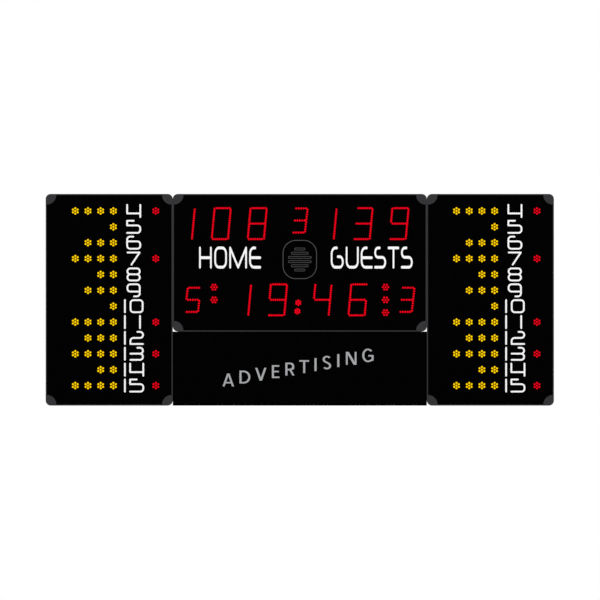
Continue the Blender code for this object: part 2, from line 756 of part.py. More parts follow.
# Horn behind its grille
grille = bmesh.new()
add_plate(grille, rounded(GRILLE_WIDTH, GRILLE_HEIGHT, GRILLE_RADIUS), -GRILLE_PLATE - FIT, -FIT)
rim = shell(
    "grille_rim",
    GRILLE_WIDTH,
    GRILLE_HEIGHT,
    GRILLE_RADIUS,
    [
        (0, -GRILLE_PLATE / 2),
        (0, -GRILLE_PLATE - GRILLE_RIM),
        (GRILLE_RIM_WIDTH, -GRILLE_PLATE - GRILLE_RIM),
        (GRILLE_RIM_WIDTH, -GRILLE_PLATE / 2),
    ],
    True,
)
slots = bmesh.new()
for side in (-1, 1):
    for index, half_length in enumerate(reversed(SLOT_HALF_LENGTHS)):
        z = side * (index + 0.5) * SLOT_PITCH
        outline = [(x, z + up) for x, up in rounded(2 * half_length, SLOT_HEIGHT, SLOT_HEIGHT / 2 - FIT, 3)]
        add_plate(slots, outline, -2 * GRILLE_PLATE, GRILLE_PLATE)
grille_mesh = combined(
    "horn_grille",
    mesh_from("horn_grille", grille),
    [("UNION", rim), ("DIFFERENCE", mesh_from("grille_slots", slots))],
)
piece("horn_grille", grille_mesh, face_black, (0, FACE_Y, TOP_Z - GRILLE_Z), doors["main"])

horn = bmesh.new()
profile = (
    (HORN_FLANGE_RADIUS, 0),
    (HORN_FLANGE_RADIUS, HORN_FLANGE),
    (HORN_OPENING, HORN_FLANGE),
    (HORN_MAGNET_RADIUS, HORN_DEPTH / 2),
    (HORN_MAGNET_RADIUS, HORN_DEPTH),
)
add_loops(horn, [(circle((0, 0), radius, ROUND_SIDES), y) for radius, y in profile], False)
horn_place = (0, FACE_BACK_Y + FIT, TOP_Z - GRILLE_Z)
piece("horn_driver", mesh_from("horn_driver", horn), switch_black, horn_place, doors["main"])

# Advertising board: a shallow pan, with an upstand that closes the joints to its neighbours
ad_middle_z = TOP_Z - MAIN_HEIGHT - CABINET_GAP - AD_HEIGHT / 2
ad_back_y = FRONT_Y + AD_DEPTH
pan = shell(
    "ad_board",
    MAIN_WIDTH,
    AD_HEIGHT,
    0,
    [
        (0, FRONT_Y),
        (0, ad_back_y),
        (TRAY_FLANGE, ad_back_y),
        (TRAY_FLANGE, ad_back_y - SHEET),
        (SHEET, ad_back_y - SHEET),
        (SHEET, FRONT_Y + FACE_THICKNESS),
    ],
    False,
)
upstand = bmesh.new()
half_x, half_z = MAIN_WIDTH / 2, AD_HEIGHT / 2
cover_y = ad_back_y - (SHEET + COVER_SHEET) / 2
add_box(
    upstand,
    (-half_x + COVER_END, cover_y, half_z - SHEET / 2),
    (half_x - COVER_END, cover_y + COVER_SHEET, half_z + AD_UPSTAND),
)
for side in (-1, 1):
    inner, outer = side * (half_x - SHEET / 2), side * (half_x + AD_UPSTAND)
    add_box(
        upstand,
        (min(inner, outer), cover_y, COVER_END - half_z),
        (max(inner, outer), cover_y + COVER_SHEET, half_z - SHEET),
    )
ad_mesh = combined("ad_board", pan, [("UNION", mesh_from("ad_upstand", upstand))])
piece("ad_board", ad_mesh, ad_black, (0, 0, ad_middle_z))

bracket_top_z = TOP_Z - MAIN_HEIGHT + TRAY_INSET - FIT
bracket_foot_z = TOP_Z - SIDE_HEIGHT + BRACKET_FOOT_LIFT
front_y = ad_back_y + FIT
inside_y = front_y + BRACKET_THICKNESS
section = [
    (front_y, bracket_top_z),
    (BACK_Y, bracket_top_z),
    (BACK_Y, bracket_top_z - BRACKET_THICKNESS),
    (inside_y, bracket_top_z - BRACKET_THICKNESS),
    (inside_y, bracket_foot_z + BRACKET_THICKNESS),
    (-BRACKET_THICKNESS, bracket_foot_z + BRACKET_THICKNESS),
    (-BRACKET_THICKNESS, bracket_foot_z + BRACKET_FOOT_HEIGHT),
    (0, bracket_foot_z + BRACKET_FOOT_HEIGHT),
    (0, bracket_foot_z),
    (front_y, bracket_foot_z),
]
for side, label in ((-1, "left"), (1, "right")):
    bm = bmesh.new()
    add_profile(bm, section, -BRACKET_WIDTH / 2, BRACKET_WIDTH / 2)
    name = f"ad_bracket_{label}"
    piece(name, mesh_from(name, bm), rail_metal, (side * (MAIN_WIDTH / 2 - BRACKET_INSET), 0, 0))

# Wall rails: the upper one hooks the trays, the lower one keeps them off the wall
hook_front = -RAIL_THICKNESS - CHANNEL_WIDTH - HOOK_THICKNESS
hook_back = hook_front + HOOK_THICKNESS
channel_z = RAIL_HEIGHT / 2
channel_floor = channel_z - RAIL_THICKNESS
upper = bmesh.new()
section = [
    (0, -RAIL_HEIGHT / 2),
    (-RAIL_THICKNESS, -RAIL_HEIGHT / 2),
    (-RAIL_THICKNESS, channel_floor),
    (hook_front, channel_floor),
    (hook_front, channel_z + HOOK_HEIGHT),
    (hook_back, channel_z + HOOK_HEIGHT),
    (hook_back, channel_z),
    (-RAIL_THICKNESS, channel_z),
    (-RAIL_THICKNESS, channel_z + HOOK_HEIGHT),
    (0, channel_z + HOOK_HEIGHT),
]
add_profile(upper, section, -RAIL_LENGTH / 2, RAIL_LENGTH / 2)
spacer_front = BACK_Y + FIT
spacer = bmesh.new()
half, wall = SPACER_HEIGHT / 2, SPACER_SHEET
section = [
    (0, -half),
    (-wall, -half),
    (-wall, -half / 2),
    (spacer_front, -half / 2),
    (spacer_front, half / 2),
    (-wall, half / 2),
    (-wall, half),
    (0, half),
    (0, half / 2 - wall),
    (spacer_front + wall, half / 2 - wall),
    (spacer_front + wall, wall - half / 2),
    (0, wall - half / 2),
]
add_profile(spacer, section, -RAIL_LENGTH / 2, RAIL_LENGTH / 2)
holes_in_rail = bmesh.new()
for index in range(SCREW_HOLE_COUNT):
    x = (index - (SCREW_HOLE_COUNT - 1) / 2) * SCREW_HOLE_PITCH
    outline = circle((x, SCREW_HOLE_Z), SCREW_HOLE_RADIUS, KNUCKLE_SIDES)
    add_plate(holes_in_rail, outline, -2 * RAIL_THICKNESS, RAIL_THICKNESS)
rail_mesh = combined(
    "upper_wall_rail",
    mesh_from("upper_wall_rail", upper),
    [("DIFFERENCE", mesh_from("rail_holes", holes_in_rail))],
)
piece("upper_wall_rail", rail_mesh, rail_metal, (0, 0, 0))
piece("lower_wall_rail", mesh_from("lower_wall_rail", spacer), rail_metal, (0, 0, SPACER_Z))

# Power supply and control board on the trays' backs
tray_floor_y = BACK_Y - SHEET - FIT
supply = bmesh.new()
half_x, depth, half_z = SUPPLY_SIZE[0] / 2, SUPPLY_SIZE[1], SUPPLY_SIZE[2] / 2
ledge = SUPPLY_TERMINALS
section = [
    (0, -half_z),
    (-depth / 2, -half_z),
    (-depth / 2, ledge - half_z),
    (-depth, ledge - half_z),
    (-depth, half_z),
    (0, half_z),
]
add_profile(supply, section, -half_x, half_x)
supply_place = (
    -SIDE_X - SIDE_WIDTH / 2 + SUPPLY_X,
    tray_floor_y,
    tray_bottom_z + SUPPLY_LIFT,
)
piece("power_supply", mesh_from("power_supply", supply), tray_metal, supply_place)

circuit = bmesh.new()
half_x, sheet, half_z = BOARD_SIZE[0] / 2, BOARD_SIZE[1], BOARD_SIZE[2] / 2
add_box(circuit, (-half_x, -BOARD_STAND - sheet, -half_z), (half_x, -BOARD_STAND, half_z))
fitted = bmesh.new()
stud = BOARD_STAND / 2
for side in (-1, 1):
    for end in (-1, 1):
        x, z = side * (half_x - BOARD_STAND), end * (half_z - BOARD_STAND)
        add_box(fitted, (x - stud, -BOARD_STAND - sheet / 2, z - stud), (x + stud, 0, z + stud))
connector = BOARD_STAND
for index in (-1, 0, 1):
    x = index * BOARD_SIZE[0] / 3
    add_box(
        fitted,
        (x - 3 * connector, -BOARD_STAND - sheet - connector, half_z - 3 * connector),
        (x + 3 * connector, -BOARD_STAND - sheet / 2, half_z - connector),
    )
add_box(
    fitted,
    (-4 * connector, -BOARD_STAND - sheet - connector / 2, -5 * connector),
    (4 * connector, -BOARD_STAND - sheet / 2, connector),
)
board_mesh = combined("control_board", mesh_from("control_board", circuit), [("UNION", mesh_from("fitted", fitted))])
piece("control_board", board_mesh, board_green, (BOARD_X, tray_floor_y, TOP_Z - BOARD_Z))

# Power inlet with its switch, on the underside of the left cabinet. Local z runs up from the tray's wall
inlet = bmesh.new()
add_box(
    inlet,
    (-INLET_FLANGE[0] / 2, -INLET_FLANGE[1] / 2, -FIT - INLET_FLANGE[2]),
    (INLET_FLANGE[0] / 2, INLET_FLANGE[1] / 2, -FIT),
)
housing = bmesh.new()
add_box(
    housing,
    (-INLET_SIZE[0] / 2, -INLET_SIZE[1] / 2, -FIT - INLET_FLANGE[2] / 2),
    (INLET_SIZE[0] / 2, INLET_SIZE[1] / 2, INLET_SIZE[2]),
)
outer_z = -FIT - INLET_FLANGE[2]
recesses = bmesh.new()
for middle_x, (wide, deep_y, deep) in ((SOCKET_X, SOCKET_SIZE), (ROCKER_X, ROCKER_APERTURE)):
    add_box(
        recesses,
        (middle_x - wide / 2, -deep_y / 2, outer_z - SHEET),
        (middle_x + wide / 2, deep_y / 2, outer_z + deep),
    )
bores = bmesh.new()
bore_half = ROCKER_WIDTH / 2 + TRUNNION_LENGTH + 2 * FIT
add_rod(bores, TRUNNION_BORE, ROCKER_X - bore_half, ROCKER_X + bore_half, KNUCKLE_SIDES)
bmesh.ops.translate(bores, verts=bores.verts, vec=(0, 0, outer_z + ROCKER_PIVOT_DEPTH))
pins = bmesh.new()
pin_top = outer_z + SOCKET_SIZE[2]
for x, y, (wide, deep_y) in (
    (-SOCKET_LINE_X, SOCKET_LINE_Y, SOCKET_LINE_PIN),
    (SOCKET_LINE_X, SOCKET_LINE_Y, SOCKET_LINE_PIN),
    (0, SOCKET_EARTH_Y, SOCKET_LINE_PIN[::-1]),
):
    add_box(
        pins,
        (SOCKET_X + x - wide / 2, y - deep_y / 2, pin_top - SOCKET_PIN_LENGTH),
        (SOCKET_X + x + wide / 2, y + deep_y / 2, pin_top + SHEET / 2),
    )
inlet_mesh = combined(
    "power_inlet",
    mesh_from("power_inlet", inlet),
    [
        ("UNION", mesh_from("inlet_housing", housing)),
        ("DIFFERENCE", mesh_from("inlet_recesses", recesses)),
        ("DIFFERENCE", mesh_from("inlet_bores", bores)),
        ("UNION", mesh_from("inlet_pins", pins)),
    ],
)
piece("power_inlet", inlet_mesh, switch_black, (inlet_x, inlet_y, tray_bottom_z))

pivot = (inlet_x + ROCKER_X, inlet_y, tray_bottom_z + outer_z + ROCKER_PIVOT_DEPTH)
rocker_axis = axis_empty("rocker_axis", pivot)
half_length = ROCKER_LENGTH / 2
section = [
    (-half_length, -ROCKER_PROUD),
    (0, -ROCKER_DIP),
    (half_length, -ROCKER_PROUD),
    (half_length - ROCKER_TAPER, ROCKER_END_ROOT),
    (0, ROCKER_ROOT),
    (ROCKER_TAPER - half_length, ROCKER_END_ROOT),
]
rocker = bmesh.new()
add_profile(rocker, section, -ROCKER_WIDTH / 2, ROCKER_WIDTH / 2)
trunnions = bmesh.new()
trunnion_half = ROCKER_WIDTH / 2 + TRUNNION_LENGTH
add_rod(trunnions, TRUNNION_RADIUS, -trunnion_half, trunnion_half, KNUCKLE_SIDES)
rocker_mesh = combined("power_rocker", mesh_from("power_rocker", rocker), [("UNION", mesh_from("rod", trunnions))])
piece("power_rocker", rocker_mesh, switch_black, pivot, rocker_axis, (ROCKER_TILT, 0, 0))
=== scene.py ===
import json
import math

import bmesh
import bpy
from mathutils import Matrix, Vector

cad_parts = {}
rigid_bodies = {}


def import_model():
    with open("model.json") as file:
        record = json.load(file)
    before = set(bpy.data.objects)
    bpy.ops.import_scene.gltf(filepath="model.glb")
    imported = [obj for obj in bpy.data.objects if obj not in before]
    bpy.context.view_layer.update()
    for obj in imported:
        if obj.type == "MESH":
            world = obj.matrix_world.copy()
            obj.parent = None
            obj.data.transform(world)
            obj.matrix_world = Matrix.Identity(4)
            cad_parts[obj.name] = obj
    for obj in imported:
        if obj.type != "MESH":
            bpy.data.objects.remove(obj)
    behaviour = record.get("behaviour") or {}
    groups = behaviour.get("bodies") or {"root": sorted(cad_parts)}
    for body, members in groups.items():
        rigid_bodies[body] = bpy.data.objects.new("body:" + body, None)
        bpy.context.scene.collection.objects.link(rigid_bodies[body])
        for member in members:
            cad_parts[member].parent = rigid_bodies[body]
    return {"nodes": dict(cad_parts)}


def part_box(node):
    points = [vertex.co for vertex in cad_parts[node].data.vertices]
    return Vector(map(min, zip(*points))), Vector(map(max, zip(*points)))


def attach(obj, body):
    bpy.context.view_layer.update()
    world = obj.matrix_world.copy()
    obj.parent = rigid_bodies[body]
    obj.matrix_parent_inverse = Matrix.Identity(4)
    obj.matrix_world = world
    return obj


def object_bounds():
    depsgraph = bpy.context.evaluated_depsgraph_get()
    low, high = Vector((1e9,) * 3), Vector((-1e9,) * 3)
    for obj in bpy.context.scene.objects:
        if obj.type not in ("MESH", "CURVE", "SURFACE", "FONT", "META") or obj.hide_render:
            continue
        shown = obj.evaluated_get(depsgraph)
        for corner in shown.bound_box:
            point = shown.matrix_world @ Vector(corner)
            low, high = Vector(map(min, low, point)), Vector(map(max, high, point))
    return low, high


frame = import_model()
cad_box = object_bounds()

# The studio: a camera far in front with a long lens, because the board is seen square on, a pale
# floor some way below a board that hangs on a wall, and soft panels of light above and at the sides.
VIEW_X, VIEW_Z, VIEW_WIDTH = 0.0016, -0.7017, 4.5354
LENS, SENSOR, SIGHT = 200.0, 36.0, 200.0
FLOOR_Z, FLOOR_NEAR, FLOOR_FAR, FLOOR_HALF = -3.4, -4.5, 3.2, 6.0
FLOOR_COLOUR, FLOOR_ROUGHNESS, FLOOR_SPECULAR = (0.86, 0.86, 0.87), 0.9, 0.1
BACKGROUND, AMBIENT = 1.0, 0.62
PANELS = (
    ("front_panel", (-2.5, -9.0, 3.5), 6.0, 330.0),
    ("side_panel", (7.0, -5.0, 1.5), 4.0, 130.0),
    ("back_panel", (-5.0, 7.0, 3.0), 5.0, 160.0),
)

in_scene = bpy.context.scene.collection.objects
lens_data = bpy.data.cameras.new("camera")
lens_data.lens, lens_data.sensor_width, lens_data.clip_end = LENS, SENSOR, SIGHT
camera = bpy.data.objects.new("camera", lens_data)
camera.location = (VIEW_X, cad_box[0][1] - VIEW_WIDTH * LENS / SENSOR, VIEW_Z)
camera.rotation_euler = (math.pi / 2, 0.0, 0.0)
in_scene.link(camera)
bpy.context.scene.camera = camera
bpy.context.scene.view_settings.view_transform = "Standard"

world = bpy.data.worlds.new("studio")
bpy.context.scene.world = world
world.use_nodes = True
air = world.node_tree
shown = air.nodes["Background"]
lighting = air.nodes.new("ShaderNodeBackground")
for background, strength in ((shown, BACKGROUND), (lighting, AMBIENT)):
    background.inputs["Color"].default_value = (1.0, 1.0, 1.0, 1.0)
    background.inputs["Strength"].default_value = strength
rays = air.nodes.new("ShaderNodeLightPath")
seen_ray = rays.outputs["Is Camera Ray"]
for kind in ("Is Glossy Ray", "Is Transmission Ray"):
    either = air.nodes.new("ShaderNodeMath")
    either.operation = "MAXIMUM"
    air.links.new(seen_ray, either.inputs[0])
    air.links.new(rays.outputs[kind], either.inputs[1])
    seen_ray = either.outputs[0]
choice = air.nodes.new("ShaderNodeMixShader")
for number, output in enumerate((seen_ray, lighting.outputs[0], shown.outputs[0])):
    air.links.new(output, choice.inputs[number])
air.links.new(choice.outputs[0], air.nodes["World Output"].inputs["Surface"])

for name, place, size, watts in PANELS:
    light = bpy.data.lights.new(name, "AREA")
    light.size, light.energy = size, watts
    panel = bpy.data.objects.new(name, light)
    panel.location = place
    aim = Vector((0.0, 0.0, VIEW_Z)) - Vector(place)
    panel.rotation_euler = aim.to_track_quat("-Z", "Y").to_euler()
    in_scene.link(panel)


def mesh_of(bm):
    mesh = bpy.data.meshes.new("part")
    bm.to_mesh(mesh)
    bm.free()
    return mesh


floor_bm = bmesh.new()
bmesh.ops.create_grid(floor_bm, x_segments=2, y_segments=2, size=1.0)
bmesh.ops.scale(floor_bm, verts=floor_bm.verts, vec=(FLOOR_HALF, (FLOOR_FAR - FLOOR_NEAR) / 2, 1.0))
bmesh.ops.translate(floor_bm, verts=floor_bm.verts, vec=(0.0, (FLOOR_FAR + FLOOR_NEAR) / 2, FLOOR_Z))
floor = bpy.data.objects.new("floor", mesh_of(floor_bm))
in_scene.link(floor)
pale = bpy.data.materials.new("pale_floor")
pale.use_nodes = True
shader = pale.node_tree.nodes["Principled BSDF"]
shader.inputs["Base Color"].default_value = (*FLOOR_COLOUR, 1.0)
shader.inputs["Roughness"].default_value = FLOOR_ROUGHNESS
shader.inputs["Specular IOR Level"].default_value = FLOOR_SPECULAR
floor.data.materials.append(pale)

# The wall rails: two extruded aluminium bars screwed to the wall. The upper one has a channel that the
# hooks on the trays drop into. The die leaves fine lines along them.
GRAIN_DETAIL, GRAIN_ENDS = 3.0, (0.3, 0.7)


def grain(made, scale, stretch=(1.0, 1.0, 1.0)):
    """A noise in the piece's own coordinates. scale is in grains per metre."""
    tree = made.node_tree
    where = tree.nodes.new("ShaderNodeTexCoord")
    mapping = tree.nodes.new("ShaderNodeMapping")
    mapping.inputs["Scale"].default_value = stretch
    noise = tree.nodes.new("ShaderNodeTexNoise")
    noise.inputs["Scale"].default_value = scale
    noise.inputs["Detail"].default_value = GRAIN_DETAIL
    tree.links.new(where.outputs["Object"], mapping.inputs["Vector"])
    tree.links.new(mapping.outputs["Vector"], noise.inputs["Vector"])
    return noise.outputs["Fac"]


def shaded(made, field, low, high, into="Base Color"):
    """The colour runs between two near ones as the field does."""
    tree = made.node_tree
    ramp = tree.nodes.new("ShaderNodeValToRGB")
    for element, place, colour in zip(ramp.color_ramp.elements, GRAIN_ENDS, (low, high)):
        element.position = place
        element.color = (*colour, 1.0)
    tree.links.new(field, ramp.inputs["Fac"])
    tree.links.new(ramp.outputs["Color"], tree.nodes["Principled BSDF"].inputs[into])


def roughened(made, field, low, high):
    tree = made.node_tree
    spread = tree.nodes.new("ShaderNodeMapRange")
    for end, value in zip(("From Min", "From Max", "To Min", "To Max"), (*GRAIN_ENDS, low, high)):
        spread.inputs[end].default_value = value
    tree.links.new(field, spread.inputs["Value"])
    tree.links.new(spread.outputs["Result"], tree.nodes["Principled BSDF"].inputs["Roughness"])


def finish(name, colour, roughness, metallic=0.0, specular=0.5, relief=0.0):
    """A material of a piece's surface.

    Where colour is (low, high, grains per metre), it runs between the two, and a fourth part is how its
    grains are stretched. roughness is alike. relief is the height in metres of the finer grains.
    """
    made = bpy.data.materials.new(name)
    made.use_nodes = True
    tree = made.node_tree
    shader = tree.nodes["Principled BSDF"]
    shader.inputs["Metallic"].default_value = metallic
    shader.inputs["Specular IOR Level"].default_value = specular
    fields = {}
    if isinstance(colour[0], float):
        shader.inputs["Base Color"].default_value = (*colour, 1.0)
    else:
        low, high, *grains = colour
        fields[grains[0]] = grain(made, *grains)
        shaded(made, fields[grains[0]], low, high)
    if isinstance(roughness, float):
        shader.inputs["Roughness"].default_value = roughness
    else:
        low, high, *grains = roughness
        fields[grains[0]] = grain(made, *grains)
        roughened(made, fields[grains[0]], low, high)
    if relief:
        bump = tree.nodes.new("ShaderNodeBump")
        bump.inputs["Distance"].default_value = relief
        tree.links.new(fields[max(fields)], bump.inputs["Height"])
        tree.links.new(bump.outputs["Normal"], shader.inputs["Normal"])
    return made


def paint_nodes(made, *names):
    """CAD nodes keep their meshes and get the real finish."""
    for name in names:
        materials = frame["nodes"][name].data.materials
        materials.clear()
        materials.append(made)


rail_finish = finish(
    "extruded_aluminium",
    ((0.50, 0.50, 0.51), (0.60, 0.60, 0.61), 900.0, (0.01, 1.0, 1.0)),
    (0.28, 0.45, 9.0),
    metallic=1.0,
    relief=0.00005,
)
paint_nodes(rail_finish, "upper_wall_rail", "lower_wall_rail", "ad_bracket_left", "ad_bracket_right")

# The bolts that hold the two brackets under the centre cabinet and to the advertising board: zinc-plated
# hexagon heads, each on a plain washer. Their profiles are (radius, height) from the foot up.
WASHER = ((0.0062, 0.0), (0.0062, 0.0009), (0.0059, 0.0012))
BOLT_HEAD = ((0.0056, 0.0012), (0.0056, 0.0040), (0.0050, 0.0048), (0.0040, 0.0052))
WASHER_SIDES, HEXAGON, BRACKET_THICKNESS, BOLT_SPREAD, BOLT_FROM_TOP = 24, 6, 0.004, 0.012, 0.015
BACK, UP, DOWN, ORIGIN, SHARP = (0, 1, 0), (0, 0, 1), (0, 0, -1), (0.0, 0.0, 0.0), math.radians(40)

zinc = finish(
    "zinc_plate", ((0.44, 0.43, 0.40), (0.60, 0.59, 0.55), 420.0), (0.24, 0.44, 160.0), metallic=1.0
)


def spun(outline, axis, sides):
    """A bmesh of an outline turned about an axis through the origin, with both ends closed."""
    bm = bmesh.new()
    verts = [bm.verts.new(spot) for spot in outline]
    edges = [bm.edges.new(pair) for pair in zip(verts, verts[1:])]
    geom, turn = verts + edges, 2 * math.pi
    bmesh.ops.spin(bm, geom=geom, cent=ORIGIN, axis=axis, angle=turn, steps=sides, use_merge=True)
    bmesh.ops.holes_fill(bm, edges=[edge for edge in bm.edges if edge.is_boundary], sides=0)
    bmesh.ops.recalc_face_normals(bm, faces=bm.faces)
    return bm


def turned(profile, sides):
    """A mesh turned about Z from (radius, height) pairs."""
    return mesh_of(spun([(radius, 0.0, height) for radius, height in profile], UP, sides))


def at(place, facing=None):
    """Where a mesh goes. One made along Z can turn its crown to face a given way."""
    if facing is None:
        return Matrix.Translation(place)
    return Matrix.Translation(place) @ Vector(facing).to_track_quat("Z", "Y").to_matrix().to_4x4()


def piece(name, mesh, body, finishes, sharp=SHARP):
    """A finished piece, whose place is already in its mesh, riding on its body."""
    mesh.name = name
    if sharp:
        mesh.shade_smooth()
        mesh.set_sharp_from_angle(angle=sharp)
    for one in finishes:
        mesh.materials.append(one)
    made = bpy.data.objects.new(name, mesh)
    in_scene.link(made)
    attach(made, body)


def assembled(name, body, parts):
    """One piece from parts, each a mesh, its finish and the places that it goes to."""
    bm = bmesh.new()
    finishes = list(dict.fromkeys(made_of for _, made_of, _ in parts))
    for mesh, made_of, places in parts:
        for polygon in mesh.polygons:
            polygon.material_index = finishes.index(made_of)
        for place in places:
            copy = mesh.copy()
            copy.transform(place)
            bm.from_mesh(copy)
            bpy.data.meshes.remove(copy)
        bpy.data.meshes.remove(mesh)
    piece(name, mesh_of(bm), body, finishes)


def middle(name):
    """The x, y and z of a node's middle."""
    return [(low + high) / 2 for low, high in zip(*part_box(name))]


heads = []
for name in ("ad_bracket_left", "ad_bracket_right"):
    low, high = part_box(name)
    for side in (-1, 1):
        x = middle(name)[0] + side * BOLT_SPREAD
        middle_y = (low[1] + cad_box[1][1]) / 2
        heads.append(at((x, middle_y, high[2] - BRACKET_THICKNESS), DOWN))
        heads.append(at((x, low[1] + BRACKET_THICKNESS, high[2] - BOLT_FROM_TOP), BACK))
parts = [(turned(WASHER, WASHER_SIDES), zinc, heads), (turned(BOLT_HEAD, HEXAGON), zinc, heads)]
assembled("bracket_bolts", "cabinets", parts)

# The trays: tubs folded from mill-finish aluminium sheet, one behind each front, with the rolling
# direction faintly showing. Louvres are pressed out of their backs, and blind rivets hold the hangers.
# Under each louvre a thin near-black plate on each face of the back is painted shadow in its opening.
SIDES, SHEET, FRONT = ("main", "left", "right"), 0.002, (0, -1, 0)
RIVET = ((0.0042, 0.0), (0.0041, 0.0006), (0.0032, 0.0012), (0.0016, 0.0015))
RIVET_SIDES, RIVET_Z, RIVET_PITCH, HANGER_SETBACK = 12, 0.0755, 0.120, 0.200
LOUVRE_SIZE, LOUVRE_TAPER, LOUVRE_EDGE = (0.120, 0.0060, 0.014), 0.94, 0.0004
LOUVRE_SLOT = (0.108, 0.0005, 0.0040)
LOUVRE_PITCH, LOUVRES_IN_GROUP, LOUVRE_SHARE = 0.026, 8, 0.27
LOUVRE_FROM_TOP, LOUVRE_FROM_FOOT = 0.200, 0.290

tray_finish = finish(
    "mill_aluminium",
    ((0.37, 0.37, 0.38), (0.46, 0.46, 0.47), 260.0, (0.04, 1.0, 1.0)),
    (0.40, 0.47, 14.0, (0.3, 1.0, 1.0)),
    metallic=1.0,
    relief=0.00003,
)
paint_nodes(tray_finish, "main_tray", "left_tray", "right_tray")
# Painted shadow: a near-black finish for the plates that stand in the shade of each louvre's opening
shadow = finish("painted_slot_shadow", ((0.003, 0.003, 0.003), (0.005, 0.005, 0.005), 300.0), 0.90, specular=0.05)


def box_of(size):
    bm = bmesh.new()
    bmesh.ops.create_cube(bm, size=1.0)
    bmesh.ops.scale(bm, vec=size, verts=bm.verts)
    return bm


def eased(bm, edges, reach):
    bmesh.ops.bevel(bm, geom=edges, offset=reach, affect="EDGES", segments=2, profile=0.5, material=-1)


def block(size, edge=0.0):
    """A mesh of a box about the origin, with its edges rounded off by edge."""
    bm = box_of(size)
    if edge:
        eased(bm, bm.edges[:], edge)
    return mesh_of(bm)


def louvre():
    """A pressed hood on a back: closed above, open below, facing +Y."""
    bm = box_of(LOUVRE_SIZE)
    for vert in bm.verts:
        if vert.co.y > 0:
            vert.co.x *= LOUVRE_TAPER
            if vert.co.z > 0:
                vert.co.y = SHEET / 4 - LOUVRE_SIZE[1] / 2
    eased(bm, bm.edges[:], LOUVRE_EDGE)
    return mesh_of(bm)


def spaced(start, end, pitch):
    """Places from start to end, evenly and about a pitch apart."""
    steps = max(1, round((end - start) / pitch))
    return [start + (end - start) * index / steps for index in range(steps + 1)]


back_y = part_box("power_supply")[1][1] + SHEET
floor_y = back_y - SHEET
rivets, hoods, slots = [], [], []
for side in SIDES:
    low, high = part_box(f"{side}_front_frame")
    for x in spaced(low[0] + HANGER_SETBACK, high[0] - HANGER_SETBACK, RIVET_PITCH):
        rivets += [at((x, back_y, RIVET_Z), BACK), at((x, floor_y, RIVET_Z), FRONT)]
    for share in (-LOUVRE_SHARE, LOUVRE_SHARE):
        x = (low[0] + high[0]) / 2 + share * (high[0] - low[0])
        for row in range(LOUVRES_IN_GROUP):
            fall = row * LOUVRE_PITCH
            for z in (high[2] - LOUVRE_FROM_TOP - fall, low[2] + LOUVRE_FROM_FOOT + fall):
                hoods.append(at((x, back_y + LOUVRE_SIZE[1] / 2, z)))
                # Two near-black plates under each hood, on the back's outer and inner faces, paint the shade
                # in its opening
                under = z - (LOUVRE_SIZE[2] + LOUVRE_SLOT[2]) / 2
                slots += [at((x, y, under)) for y in (back_y, floor_y)]
parts = [
    (turned(RIVET, RIVET_SIDES), zinc, rivets),
    (louvre(), tray_finish, hoods),
    (block(LOUVRE_SLOT), shadow, slots),
]
assembled("tray_rivets_and_louvres", "cabinets", parts)

# The seals: strips of black foam glued to the trays' rims, which the shut fronts squeeze, so that the
# dust of the hall stays out. There is none along the hinges.
SEAL_WIDTH, SEAL_GAP, SEAL_END, SEAL_EDGE = 0.008, 0.0003, 0.040, 0.0008
TRAY_INSET, TRAY_FLANGE = 0.008, 0.014

foam = finish(
    "black_foam", ((0.007, 0.007, 0.007), (0.018, 0.018, 0.018), 1400.0), 0.90, specular=0.1, relief=0.0002
)


def front_of(name):
    """The y of a node's front."""
    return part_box(name)[0][1]


seals = []
for side, hinged in (("main", "top"), ("left", "left"), ("right", "right")):
    low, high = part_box(f"{side}_front_frame")
    rim_y = front_of(f"{side}_tray")
    thick = rim_y - high[1] - SEAL_GAP
    y = rim_y - thick / 2
    inset = TRAY_INSET + TRAY_FLANGE / 2
    middle_x, _, middle_z = middle(f"{side}_front_frame")
    long = (high[0] - low[0] - 2 * SEAL_END, thick, SEAL_WIDTH)
    tall = (SEAL_WIDTH, thick, high[2] - low[2] - 2 * SEAL_END)
    for edge, size, place in (
        ("top", long, (middle_x, y, high[2] - inset)),
        ("bottom", long, (middle_x, y, low[2] + inset)),
        ("left", tall, (low[0] + inset, y, middle_z)),
        ("right", tall, (high[0] - inset, y, middle_z)),
    ):
        if edge != hinged:
            seals.append((block(size, SEAL_EDGE), foam, [at(place)]))
assembled("front_seals", "cabinets", seals)

# The hinges: rolled steel leaves with a long pin, one along an edge of each cabinet. Rivets hold each
# leaf, larger ones on the tray's side and flatter ones behind the front.
LEAF_RIVET = ((0.0034, 0.0), (0.0033, 0.0005), (0.0024, 0.0010), (0.0012, 0.0012))
FLAT_RIVET = ((0.0028, 0.0), (0.0027, 0.0004), (0.0016, 0.0008))
LEAF_RIVET_PITCH, LEAF_RIVET_END, LEAF_RIVET_INSET, LEAF_THICKNESS = 0.130, 0.030, 0.005, 0.0015
HINGE_PARTS = ("tray_hinge_leaf", "door_hinge_leaf", "hinge_pin")

hinge_finish = finish(
    "rolled_steel",
    ((0.44, 0.44, 0.44), (0.56, 0.56, 0.55), 500.0, (1.0, 1.0, 0.3)),
    (0.24, 0.42, 40.0),
    metallic=1.0,
)
tray_rivets = []
